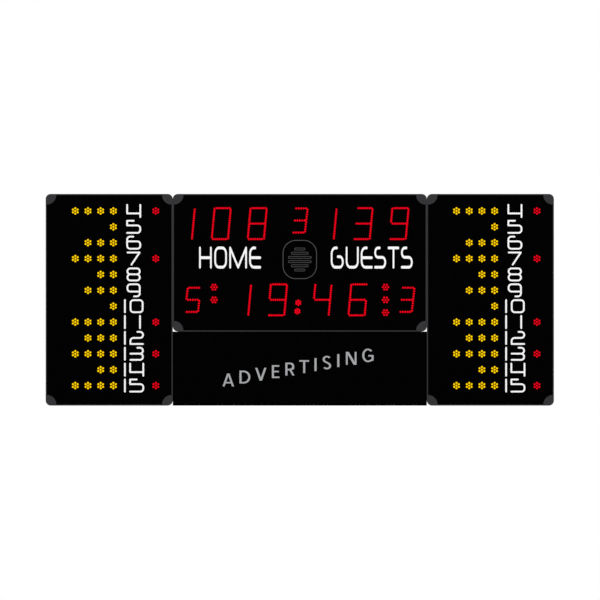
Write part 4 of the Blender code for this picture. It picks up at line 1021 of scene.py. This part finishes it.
spots = {kind: [] for kind in SPOT_KINDS}
slabs = []
for name in (*BIG_DIGITS, *SMALL_DIGITS, *LAMP_ROWS):
    low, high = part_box(name)
    x, _, z = middle(name)
    wide, tall = high[0] - low[0] - 2 * MODULE_INSET, high[2] - low[2] - 2 * MODULE_INSET
    board_back = high[1] - BOARD_SUNK + BOARD_THICK
    slabs.append((block((wide, BOARD_THICK, tall)), mask, [at((x, board_back - BOARD_THICK / 2, z))]))
    corners = [(side, end) for side in (-1, 1) for end in (-1, 1)]
    if name == "timer_colon":
        spots["lying_headers"].append((x, z))
        spots["screws"] += [(x, z + side * COLON_SCREW) for side in (-1, 1)]
    elif name in LAMP_ROWS:
        spots["upright_headers"].append((x, z + TIME_OUT_GAP))
        spots["chips"].append((x, z - TIME_OUT_GAP))
        spots["screws"] += [(x + side * TIME_OUT_SCREW, z + end * TIME_OUT_GAP) for side, end in corners]
    else:
        spots["upright_headers"].append((x, z + CHIP_SHARE[1] * tall))
        spots["capacitors"].append((x, z - CHIP_SHARE[1] * tall))
        for kind, share in (("chips", CHIP_SHARE), ("screws", SCREW_SHARE)):
            spots[kind] += [(x + side * share[0] * wide, z + end * share[1] * tall) for side, end in corners]
circuit("module_boards", "main_door", slabs, spots, board_back)

ribbon_y = board_back + UPRIGHT_HEADER[1] * RIBBON_DEPTH
runs = []
for upper in (True, False):
    along = sorted(spot for spot in spots["upright_headers"] if (spot[1] > BETWEEN_SCORES_AND_TIMER) is upper)
    run = ribbon([Vector((x, ribbon_y, z)) for x, z in along], Vector((0.0, 0.0, RIBBON_WIDTH / 2)))
    runs.append((run, ribbon_grey, [Matrix()]))
assembled("module_ribbons", "main_door", runs)

for side in ("left", "right"):
    low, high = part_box(f"{side}_front_frame")
    board_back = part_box(f"{side}_player_lamps")[1][1] - BOARD_SUNK + BOARD_THICK
    first_yellow, red = low[0] + LEFT_EDGE_TO_YELLOW, high[0] - RIGHT_EDGE_TO_RED
    last_yellow = first_yellow + (YELLOWS - 1) * YELLOW_PITCH
    start, end = first_yellow - STRIP_OVERRUN, red + STRIP_OVERRUN
    header_x = (last_yellow + red) / 2
    spots = {kind: [] for kind in SPOT_KINDS}
    strips = []
    for row in range(len(PLAYERS)):
        z = high[2] - FIRST_ROW - row * ROW_PITCH
        strips.append(at(((start + end) / 2, board_back - BOARD_THICK / 2, z)))
        spots["chips"] += [(last_yellow - (index + 0.5) * YELLOW_PITCH, z) for index in range(YELLOWS - 1)]
        spots["lying_headers"].append((header_x, z))
        spots["capacitors"].append((header_x - YELLOW_PITCH / 2, z))
        spots["screws"] += [(start + STRIP_SCREW, z), (end - STRIP_SCREW, z)]
    slabs = [(block((end - start, BOARD_THICK, STRIP_HEIGHT)), mask, strips)]
    circuit(f"{side}_row_boards", f"{side}_door", slabs, spots, board_back)
    ribbon_y = board_back + LYING_HEADER[1] * RIBBON_DEPTH
    along = [Vector((x, ribbon_y, z)) for x, z in spots["lying_headers"]]
    run = ribbon(along, Vector((ROW_RIBBON_WIDTH / 2, 0.0, 0.0)))
    assembled(f"{side}_row_ribbon", f"{side}_door", [(run, ribbon_grey, [Matrix()])])

# The player numbers: white ink printed on the side faces, one number beside each row. They are drawn
# with a round pen, from a handful of straight strokes and quarter bends.
INK, INK_SUNK, PEN, STROKE_LIFT = 0.0003, 0.00005, 0.0063, 0.0003
BEND, BEND_STEPS, END_STEPS, END_BLUNTNESS = 0.0227, 6, 4, 0.4
NUMBER_SIZE = (0.0994, 0.0915)
SINGLE_LEFT, PAIR_LEFT, ONE_AT = 0.6157, 0.6384, 0.5988
# Strokes in a box one wide and one high. Each corner is (across, up), and a third 1 bends it round.
# A stroke that ends with its first corner is a closed ring.
GLYPHS = {
    "0": [[(0.03, 0.5), (0.03, 0, 1), (0.95, 0, 1), (0.95, 1, 1), (0.03, 1, 1), (0.03, 0.5)]],
    "1": [[(0.75, 0), (0.75, 1)]],
    "2": [[(0.55, 1), (0.98, 1, 1), (0.98, 0.5, 1), (0.02, 0.5, 1), (0.02, 0)], [(0.02, 0), (0.97, 0)]],
    "3": [
        [(0.55, 1), (0.97, 1, 1), (0.97, 0.51, 1), (0.02, 0.51)],
        [(0.7, 0.51), (0.97, 0.51, 1), (0.97, 0, 1), (0.02, 0)],
    ],
    "4": [[(0, 1), (0, 0.296)], [(0, 0.296), (1, 0.296)], [(1, 1), (1, 0)]],
    "5": [[(0.5, 1), (0, 1)], [(0, 1), (0, 0.615)], [(0, 0.615), (1, 0.615, 1), (1, 0, 1), (0, 0)]],
    "6": [[(0.47, 1), (0, 1, 1), (0, 0, 1), (1, 0, 1), (1, 0.61, 1), (0, 0.61)]],
    "7": [[(0.03, 1), (0.95, 1)], [(0.95, 1), (0.33, 0)]],
    "8": [
        [(0.5, 1), (0.02, 1, 1), (0.02, 0.51, 1), (0.96, 0.51, 1), (0.96, 1, 1), (0.5, 1)],
        [(0.26, 0.51), (0.02, 0.51, 1), (0.02, 0, 1), (0.96, 0, 1), (0.96, 0.51, 1), (0.72, 0.51)],
    ],
    "9": [[(0.96, 0.395), (0.02, 0.395, 1), (0.02, 1, 1), (0.96, 1, 1), (0.96, 0, 1), (0.53, 0)]],
}

white_ink = finish(
    "white_ink", ((0.90, 0.90, 0.90), (0.96, 0.96, 0.96), 220.0), (0.50, 0.65, 1200.0), specular=0.3
)


def bent_path(corners, size, bend):
    """Points along a stroke, with its marked corners rounded off as far as their neighbours leave room."""
    spots = [Vector((corner[0] * size[0], corner[1] * size[1])) for corner in corners]
    is_bent = [len(corner) == 3 for corner in corners]
    points = [spots[0]]
    for index in range(1, len(spots) - 1):
        here = spots[index]
        if not is_bent[index]:
            points.append(here)
            continue
        before, after = spots[index - 1] - here, spots[index + 1] - here
        room = [
            side.length / 2 if is_bent[neighbour] else side.length
            for side, neighbour in ((before, index - 1), (after, index + 1))
        ]
        reach = min(bend, *room)
        before, after = before.normalized(), after.normalized()
        center = here + reach * (before + after)
        for step in range(BEND_STEPS + 1):
            angle = math.pi / 2 * step / BEND_STEPS
            points.append(center - reach * (math.cos(angle) * after + math.sin(angle) * before))
    points.append(spots[-1])
    return points


def drawn(curve, paths):
    """A mesh of a curve through paths, each its points, their radii and whether it is closed."""
    for points, radii, closed in paths:
        spline = curve.splines.new("POLY")
        spline.points.add(len(points) - 1)
        for spot, point, radius in zip(spline.points, points, radii):
            spot.co = (*point, 1.0)
            spot.radius = radius
        spline.use_cyclic_u = closed
    holder = bpy.data.objects.new("curve", curve)
    in_scene.link(holder)
    graph = bpy.context.evaluated_depsgraph_get()
    mesh = bpy.data.meshes.new_from_object(holder.evaluated_get(graph))
    bpy.data.objects.remove(holder, do_unlink=True)
    return mesh


def pen_strokes(strokes, pen):
    """A mesh of round-ended strokes in the XZ plane, from lists of points.

    Each stroke lies a hair in front of the last, because surfaces at one height would shade each other.
    """
    curve = bpy.data.curves.new("strokes", "CURVE")
    curve.dimensions = "3D"
    curve.bevel_depth = pen
    curve.bevel_resolution = 2
    curve.use_fill_caps = True
    paths = []
    for number, points in enumerate(strokes):
        closed = (points[0] - points[-1]).length < pen / 10
        stations = [(point, 1.0) for point in points]
        if closed:
            stations.pop()
        else:
            ahead = (points[0] - points[1]).normalized()
            behind = (points[-1] - points[-2]).normalized()
            for step in range(1, END_STEPS + 1):
                angle = math.pi / 2 * step / (END_STEPS + END_BLUNTNESS)
                reach, thin = pen * math.sin(angle), math.cos(angle)
                stations.insert(0, (points[0] + reach * ahead, thin))
                stations.append((points[-1] + reach * behind, thin))
        spots = [(point.x, -number * STROKE_LIFT, point.y) for point, _ in stations]
        paths.append((spots, [radius for _, radius in stations], closed))
    return drawn(curve, paths)


def glyph(letter, size, pen, bend):
    return pen_strokes([bent_path(corners, size, bend) for corners in GLYPHS[letter]], pen)


def printed(name, meshes, front_y, body):
    """Meshes of strokes about y = 0, flattened to ink on a face, as one piece."""
    bm = bmesh.new()
    for mesh in meshes:
        bm.from_mesh(mesh)
        bpy.data.meshes.remove(mesh)
    for vert in bm.verts:
        vert.co.y = front_y + min(INK_SUNK, vert.co.y * INK / PEN)
    bmesh.ops.recalc_face_normals(bm, faces=bm.faces)
    piece(name, mesh_of(bm), body, [white_ink])


for side in ("left", "right"):
    low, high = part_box(f"{side}_front_frame")
    made = []
    for row, player in enumerate(PLAYERS):
        base = high[2] - FIRST_ROW - row * ROW_PITCH - NUMBER_SIZE[1] / 2
        mesh = glyph(str(player)[-1], NUMBER_SIZE, PEN, BEND)
        mesh.transform(at((low[0] + (SINGLE_LEFT if player < 10 else PAIR_LEFT), 0.0, base)))
        made.append(mesh)
        if player >= 10:
            one = pen_strokes([[Vector((0, 0)), Vector((0, NUMBER_SIZE[1]))]], PEN)
            one.transform(at((low[0] + ONE_AT, 0.0, base)))
            made.append(one)
    printed(f"{side}_player_numbers", made, front_of(f"{side}_face"), f"{side}_door")

# The team names: the same pen, stretched to nearly twice the height, printed on the centre face. Each
# letter is set by the x of its left and right stroke.
NAME_STRETCH, NAME_HEIGHT, NAME_BASE, NAME_BEND = 1.63, 0.0895, -0.4539, 0.0276
GLYPHS |= {
    "H": [[(0, 0), (0, 1)], [(1, 0), (1, 1)], [(0, 0.494), (1, 0.494)]],
    "O": [[(0, 0.5), (0, 0, 1), (1, 0, 1), (1, 1, 1), (0, 1, 1), (0, 0.5)]],
    "M": [[(0, 0), (0, 1)], [(0, 1), (0.5, 0)], [(0.5, 0), (1, 1)], [(1, 1), (1, 0)]],
    "E": [[(0.5, 1), (0, 1, 1), (0, 0, 1), (1, 0)], [(0, 0.494), (1, 0.494)]],
    "G": [[(0.46, 1), (0, 1, 1), (0, 0, 1), (1, 0, 1), (1, 0.547, 1), (0.55, 0.547)]],
    "U": [[(0, 1), (0, 0, 1), (1, 0, 1), (1, 1)]],
    "S": [[(0.45, 1), (0, 1, 1), (0, 0.513, 1), (1, 0.513, 1), (1, 0, 1), (0, 0)]],
    "T": [[(0, 1), (1, 1)], [(0.5, 1), (0.5, 0)]],
}
NAMES = {
    "home_name": (
        ("H", -0.7547, -0.6720), ("O", -0.6398, -0.5575), ("M", -0.5264, -0.4062), ("E", -0.3760, -0.2996),
    ),
    "guests_name": (
        ("G", 0.2408, 0.3255), ("U", 0.3542, 0.4389), ("E", 0.4676, 0.5440),
        ("S", 0.5697, 0.6460), ("T", 0.6717, 0.7450), ("S", 0.7715, 0.8471),
    ),
}
for name, letters in NAMES.items():
    made = []
    for letter, left, right in letters:
        mesh = glyph(letter, (right - left, NAME_HEIGHT), PEN, NAME_BEND)
        mesh.transform(at((left, 0.0, NAME_BASE)) @ Matrix.Diagonal((1.0, 1.0, NAME_STRETCH, 1.0)))
        made.append(mesh)
    printed(name, made, front_of("main_face"), "main_door")

# The horn grille: a black moulding with a raised grey rim round its edge and round each of its six slots.
# The rims are a separate grey moulding, clipped on from the front.
GRILLE_CORNER, GRILLE_RIM, GRILLE_OVERHANG, GRILLE_RELIEF = 0.099, 0.0040, 0.0002, 0.0007
SLOT_PITCH, SLOT_RIM, SLOT_HEIGHT, SLOT_HALVES = 0.0317, 0.0030, 0.0185, (0.0880, 0.0655, 0.0405)
RIM_PROUD, RIM_SUNK, RIM_EDGE, RIM_CREASE = 0.0008, 0.0002, 0.00025, 1.0
CORNER_STEPS, SLOT_STEPS = 10, 5

rim_finish = finish(
    "grey_rim_moulding",
    ((0.078, 0.078, 0.081), (0.090, 0.090, 0.094), 150.0),
    (0.45, 0.60, 1800.0),
    specular=0.10,
)
paint_nodes(face_finish, "horn_grille")


def rounded_ring(bm, center, size, radius, rim, front_y, back_y, steps):
    """A ring with round corners, facing -Y: a disc pulled apart to its corners, inset and thickened."""
    half_step = math.pi / (4 * steps)
    upright = Matrix.Rotation(math.pi / 2, 4, "X") @ Matrix.Rotation(half_step, 4, "Z")
    disc_radius = radius / math.cos(half_step)
    made = bmesh.ops.create_circle(
        bm, cap_ends=True, radius=disc_radius, segments=4 * steps, matrix=upright
    )["verts"]
    for vert in made:
        vert.co.x += math.copysign(size[0] / 2 - radius, vert.co.x)
        vert.co.z += math.copysign(size[1] / 2 - radius, vert.co.z)
    bmesh.ops.translate(bm, verts=made, vec=(center[0], back_y, center[1]))
    thickened(bm, made[0].link_faces[0], rim, (0.0, front_y - back_y, 0.0))


low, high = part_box("horn_grille")
x, _, z = middle("horn_grille")
front_y = low[1]
plate_y = front_y + GRILLE_RELIEF
grille_size = [high[axis] - low[axis] + 2 * GRILLE_OVERHANG for axis in (0, 2)]
rim = GRILLE_RIM + 2 * GRILLE_OVERHANG
rims = bmesh.new()
rounded_ring(rims, (x, z), grille_size, GRILLE_CORNER, rim, front_y - GRILLE_OVERHANG, high[1], CORNER_STEPS)
for index, half in enumerate(SLOT_HALVES):
    for side in (-1, 1):
        center, size = (x, z + side * (index + 0.5) * SLOT_PITCH), (2 * half, SLOT_HEIGHT)
        depths = plate_y - RIM_PROUD, plate_y + RIM_SUNK
        rounded_ring(rims, center, size, SLOT_HEIGHT / 2, SLOT_RIM, *depths, SLOT_STEPS)
sharp = [
    edge
    for edge in rims.edges
    if edge.calc_face_angle(0.0) > RIM_CREASE and max(vert.co.y for vert in edge.verts) < plate_y
]
eased(rims, sharp, RIM_EDGE)
bmesh.ops.recalc_face_normals(rims, faces=rims.faces)
piece("grille_rims", mesh_of(rims), "main_door", [rim_finish])

# The looms: sheathed cables laid along the tray floors under saddles, from the inlet to the supply, then
# through rubber grommets to the control board and the right cabinet. Each ends in a terminal block.
CABLE, WIRE, WIRE_SPREAD = 0.0036, 0.0014, 0.010
WIRE_COLOURS = ((0.100, 0.030, 0.012), (0.015, 0.050, 0.250), (0.090, 0.240, 0.030))
WIRE_DARKER, WIRE_LIGHTER = 0.9, 1.1
LOOM_BEND, LOOM_Z, LOOM_DROP = 0.030, -0.300, 0.020
RISER_X, FOOT_RUN_Z = 0.996, -1.452
GROMMET = (
    (0.0068, -0.0036), (0.0068, -0.0014), (0.0050, -0.0010),
    (0.0050, 0.0010), (0.0068, 0.0014), (0.0068, 0.0036),
)
GROMMET_SIDES, CROSSING, GROMMET_SPREAD = 20, 0.9605, 0.0085
RISE, RISE_FROM_Z, RISE_LENGTH, RISE_STEPS = 0.0104, -0.338, 0.040, 8
PLUG_INSET, RELIEF_SIZE, RELIEF_LIFT = 0.0076, (0.0160, 0.0078, 0.0080), 0.004
CABLE_TUCK, WIRE_TUCK = 0.002, 0.001
TERMINALS_X, LOOM_BLOCK, BLOCK_WAYS, BLOCK_WAY_PITCH = 1.080, (0.060, 0.012, 0.016), 5, 0.0110
SADDLE, SADDLE_PITCH, SADDLE_END, LAST_SADDLE_X = (0.020, 0.0082, 0.009), 0.240, 0.080, 0.880

sheath = finish(
    "black_sheath", ((0.011, 0.011, 0.011), (0.018, 0.018, 0.018), 300.0), (0.42, 0.60, 120.0), specular=0.4
)
wires = []
for index, colour in enumerate(WIRE_COLOURS):
    shades = (scaled(colour, WIRE_DARKER), scaled(colour, WIRE_LIGHTER), 400.0)
    wires.append(finish(f"wire_{index}", shades, 0.45, specular=0.4))


def laid(corners, radius, y, risen_x=None):
    """A cable in the XZ plane at y, through corners that are bent round.

    Where it hangs at risen_x it rises from the floor towards its plug.
    """
    mesh = pen_strokes([bent_path(corners, (1.0, 1.0), LOOM_BEND)], radius)
    for vert in mesh.vertices:
        if risen_x is not None and abs(vert.co.x - risen_x) < 2 * radius:
            share = min(1.0, max(0.0, (RISE_FROM_Z - vert.co.z) / RISE_LENGTH))
            vert.co.y -= RISE * share * share * (3 - 2 * share)
    mesh.transform(at((0.0, y, 0.0)))
    return mesh


cable_y, low_run_z = floor_y - CABLE, LOOM_Z - LOOM_DROP
supply_low, board_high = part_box("power_supply")[0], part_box("control_board")[1]
out_x = supply_x + 3 * WAY_PITCH
plug_xs = (header_xs[0], header_xs[2])
plug_z = board_high[2] - PLUG_INSET
rises = [RISE_FROM_Z - RISE_LENGTH * step / RISE_STEPS for step in range(RISE_STEPS + 1)] + [plug_z]
to_board = [(out_x, supply_low[2] + CABLE_TUCK), (out_x, FOOT_RUN_Z, 1), (-RISER_X, FOOT_RUN_Z, 1)]
to_board += [(-RISER_X, LOOM_Z, 1), (plug_xs[0], LOOM_Z, 1)] + [(plug_xs[0], z) for z in rises]
to_right = [(plug_xs[1], z) for z in reversed(rises)]
to_right += [(plug_xs[1], low_run_z, 1), (TERMINALS_X - LOOM_BLOCK[0] / 2, low_run_z)]
parts = []
for run, x in zip((to_board, to_right), plug_xs):
    parts.append((laid(run, CABLE, cable_y, x), sheath, [Matrix()]))
for wire, offset in zip(wires, centred(len(wires), WIRE_SPREAD)):
    x = supply_x + offset
    run = [(x, inlet_high[2] - WIRE_TUCK), (x, supply_low[2] + WIRE_TUCK)]
    parts.append((laid(run, WIRE, inlet_y), wire, [Matrix()]))
reliefs = [at((x, cable_y - RISE, plug_z + RELIEF_LIFT)) for x in plug_xs]
grommets = [
    at((side * CROSSING + end * GROMMET_SPREAD, cable_y, z), RIGHT)
    for side, z in ((-1, LOOM_Z), (1, low_run_z))
    for end in (-1, 1)
]
saddles = []
for start, end, fixed, upright in (
    (out_x + SADDLE_END, -RISER_X - SADDLE_END, FOOT_RUN_Z, False),
    (FOOT_RUN_Z + SADDLE_END, LOOM_Z - SADDLE_END, -RISER_X, True),
    (-LAST_SADDLE_X, plug_xs[0] - SADDLE_END, LOOM_Z, False),
    (plug_xs[1] + SADDLE_END, LAST_SADDLE_X, low_run_z, False),
):
    for place in spaced(start, end, SADDLE_PITCH):
        x, z = (fixed, place) if upright else (place, fixed)
        turn = Matrix() if upright else Matrix.Rotation(math.pi / 2, 4, "Y")
        saddles.append(at((x, floor_y - SADDLE[1] / 2, z)) @ turn)
block_screws = [
    at((TERMINALS_X + offset, floor_y - LOOM_BLOCK[1], low_run_z), FRONT)
    for offset in centred(BLOCK_WAYS, BLOCK_WAY_PITCH)
]
block_place = at((TERMINALS_X, floor_y - LOOM_BLOCK[1] / 2, low_run_z))
parts += [
    (block(RELIEF_SIZE, edge=0.0010), clamp_plastic, reliefs),
    (turned(GROMMET, GROMMET_SIDES), clamp_plastic, grommets),
    (block(SADDLE, edge=0.0015), white_nylon, saddles),
    (block(LOOM_BLOCK, edge=0.0008), clamp_plastic, [block_place]),
    (turned(CLAMP_SCREW, SCREW_SIDES), zinc, block_screws),
]
assembled("looms", "cabinets", parts)

# The advertising board: a black pan for a sheet of the hall's own choice. Its placeholder word climbs in
# upright grey capitals, printed in one flat ink.
AD_HEIGHT, AD_STEM, AD_BAR, AD_BEND, AD_THINNING, AD_INK = 0.1030, 0.0212, 0.0175, 0.0515, 0.0031, 0.0003
AD_START, AD_RISE = (-0.5404, -1.3577), 0.1762
ROUND_LETTER_STEPS, OVERSHOOT, WELD = 24, 0.0024, 1e-6
S_SPREAD, S_OPENING = 1.16, 26
G_OPENING, G_FOOT, G_BAR_RISE, G_BAR_START = 39, 288, 0.47, 0.50
# Each letter with its middle, from the first letter's, and its width
AD_LETTERS = (
    ("A", 0.0, 0.0950), ("D", 0.1255, 0.0880), ("V", 0.2457, 0.0930), ("E", 0.3583, 0.0635),
    ("R", 0.4672, 0.0775), ("T", 0.5737, 0.0800), ("I", 0.6592, 0.0220), ("S", 0.7453, 0.0700),
    ("I", 0.8315, 0.0220), ("N", 0.9290, 0.0860), ("G", 1.0553, 0.0915),
)
# Closed outlines in a box one wide and one high, with the counters last. A third 1 bends a corner.
AD_FORMS = {
    "A": [
        [(0, 0), (0.385, 1), (0.615, 1), (1, 0), (0.78, 0), (0.684, 0.22), (0.316, 0.22), (0.22, 0)],
        [(0.375, 0.385), (0.5, 0.72), (0.625, 0.385)],
    ],
    "D": [
        [(0, 0), (0, 1), (1, 1, 1), (1, 0, 1), (0, 0)],
        [(0.241, 0.17), (0.241, 0.83), (0.759, 0.83, 1), (0.759, 0.17, 1), (0.241, 0.17)],
    ],
    "V": [[(0, 1), (0.385, 0), (0.615, 0), (1, 1), (0.76, 1), (0.5, 0.325), (0.24, 1)]],
    "E": [
        [(0, 0), (0, 1), (0.97, 1), (0.97, 0.83), (0.334, 0.83), (0.334, 0.59)]
        + [(0.92, 0.59), (0.92, 0.42), (0.334, 0.42), (0.334, 0.17), (1, 0.17), (1, 0)],
    ],
    "R": [
        [(0, 0), (0, 1), (0.94, 1, 1), (0.94, 0.41, 1), (0.68, 0.41)]
        + [(1, 0), (0.70, 0), (0.41, 0.38), (0.274, 0.38), (0.274, 0), (0, 0)],
        [(0.274, 0.55), (0.274, 0.83), (0.67, 0.83, 1), (0.67, 0.55, 1), (0.274, 0.55)],
    ],
    "T": [[(0, 1), (1, 1), (1, 0.83), (0.632, 0.83), (0.632, 0), (0.368, 0), (0.368, 0.83), (0, 0.83)]],
    "I": [[(0, 0), (0, 1), (1, 1), (1, 0)]],
    "N": [
        [(0, 0), (0, 1), (0.31, 1), (0.77, 0.33), (0.77, 1)]
        + [(1, 1), (1, 0), (0.69, 0), (0.23, 0.67), (0.23, 0)],
    ],
}

ad_ink = finish(
    "grey_ink", ((0.350, 0.357, 0.368), (0.378, 0.386, 0.398), 200.0), (0.52, 0.66, 1200.0), specular=0.2
)
paint_nodes(face_finish, "ad_board")


def round_path(center, across, up, start, end):
    """Points on an ellipse between two angles in degrees."""
    points = []
    for step in range(ROUND_LETTER_STEPS + 1):
        angle = math.radians(start + (end - start) * step / ROUND_LETTER_STEPS)
        points.append(Vector((center[0] + across * math.cos(angle), center[1] + up * math.sin(angle))))
    return points


def broad_stroke(path):
    """The outline of a stroke that is one stem wide where it stands and one bar where it lies."""
    sides = ([], [])
    for index, point in enumerate(path):
        headings = [
            (path[end] - path[start]).normalized()
            for start, end in ((index - 1, index), (index, index + 1))
            if start >= 0 and end < len(path)
        ]
        normals = [Vector((-heading.y, heading.x)) for heading in headings]
        normal = sum(normals, Vector((0, 0))) / len(normals)
        normal /= normal.length_squared
        offset = Vector((normal.x * AD_STEM / 2, normal.y * AD_BAR / 2))
        sides[0].append(point + offset)
        sides[1].append(point - offset)
    return sides[0] + sides[1][::-1]


def round_letter(letter, width):
    """S and G, drawn with the broad stroke along ellipses."""
    across, middle_z = (width - AD_STEM) / 2, AD_HEIGHT / 2
    up = middle_z + OVERSHOOT - AD_BAR / 2
    if letter == "G":
        bar_z = G_BAR_RISE * AD_HEIGHT
        corners = ((2 * across, AD_BAR), (2 * across, bar_z), (2 * across * G_BAR_START, bar_z))
        path = round_path((across, middle_z), across, up, G_OPENING, G_FOOT)
        path += [Vector(corner) for corner in corners]
    else:
        radius = up / (1 + S_SPREAD)
        spine = math.degrees(math.acos(1 / S_SPREAD))
        upper = round_path((0, radius * S_SPREAD), across, radius, S_OPENING, 270 - spine)
        path = [Vector((across, middle_z)) + spot for spot in upper + [-spot for spot in reversed(upper)]]
    return [Vector((AD_STEM / 2, 0)) + spot for spot in broad_stroke(path)]


word = bmesh.new()
for letter, offset, width in AD_LETTERS:
    if letter in AD_FORMS:
        outlines = [bent_path(corners, (width, AD_HEIGHT), AD_BEND) for corners in AD_FORMS[letter]]
        outlines = [points[:-1] if points[0] == points[-1] else points for points in outlines]
    else:
        outlines = [round_letter(letter, width)]
    curve = bpy.data.curves.new(letter, "CURVE")
    curve.dimensions = "2D"
    curve.fill_mode = "BOTH"
    curve.extrude = AD_INK
    curve.offset = -AD_THINNING
    paths = [([(*point, 0.0) for point in points], [1.0] * len(points), True) for points in outlines]
    mesh = drawn(curve, paths)
    corner = (AD_START[0] + offset - width / 2, front_of("ad_board"), AD_START[1] + AD_RISE * offset)
    mesh.transform(at(corner) @ Matrix.Rotation(math.pi / 2, 4, "X"))
    word.from_mesh(mesh)
    bpy.data.meshes.remove(mesh)
bmesh.ops.remove_doubles(word, verts=word.verts, dist=WELD)
bmesh.ops.recalc_face_normals(word, faces=word.faces)
piece("ad_word", mesh_of(word), "cabinets", [ad_ink])
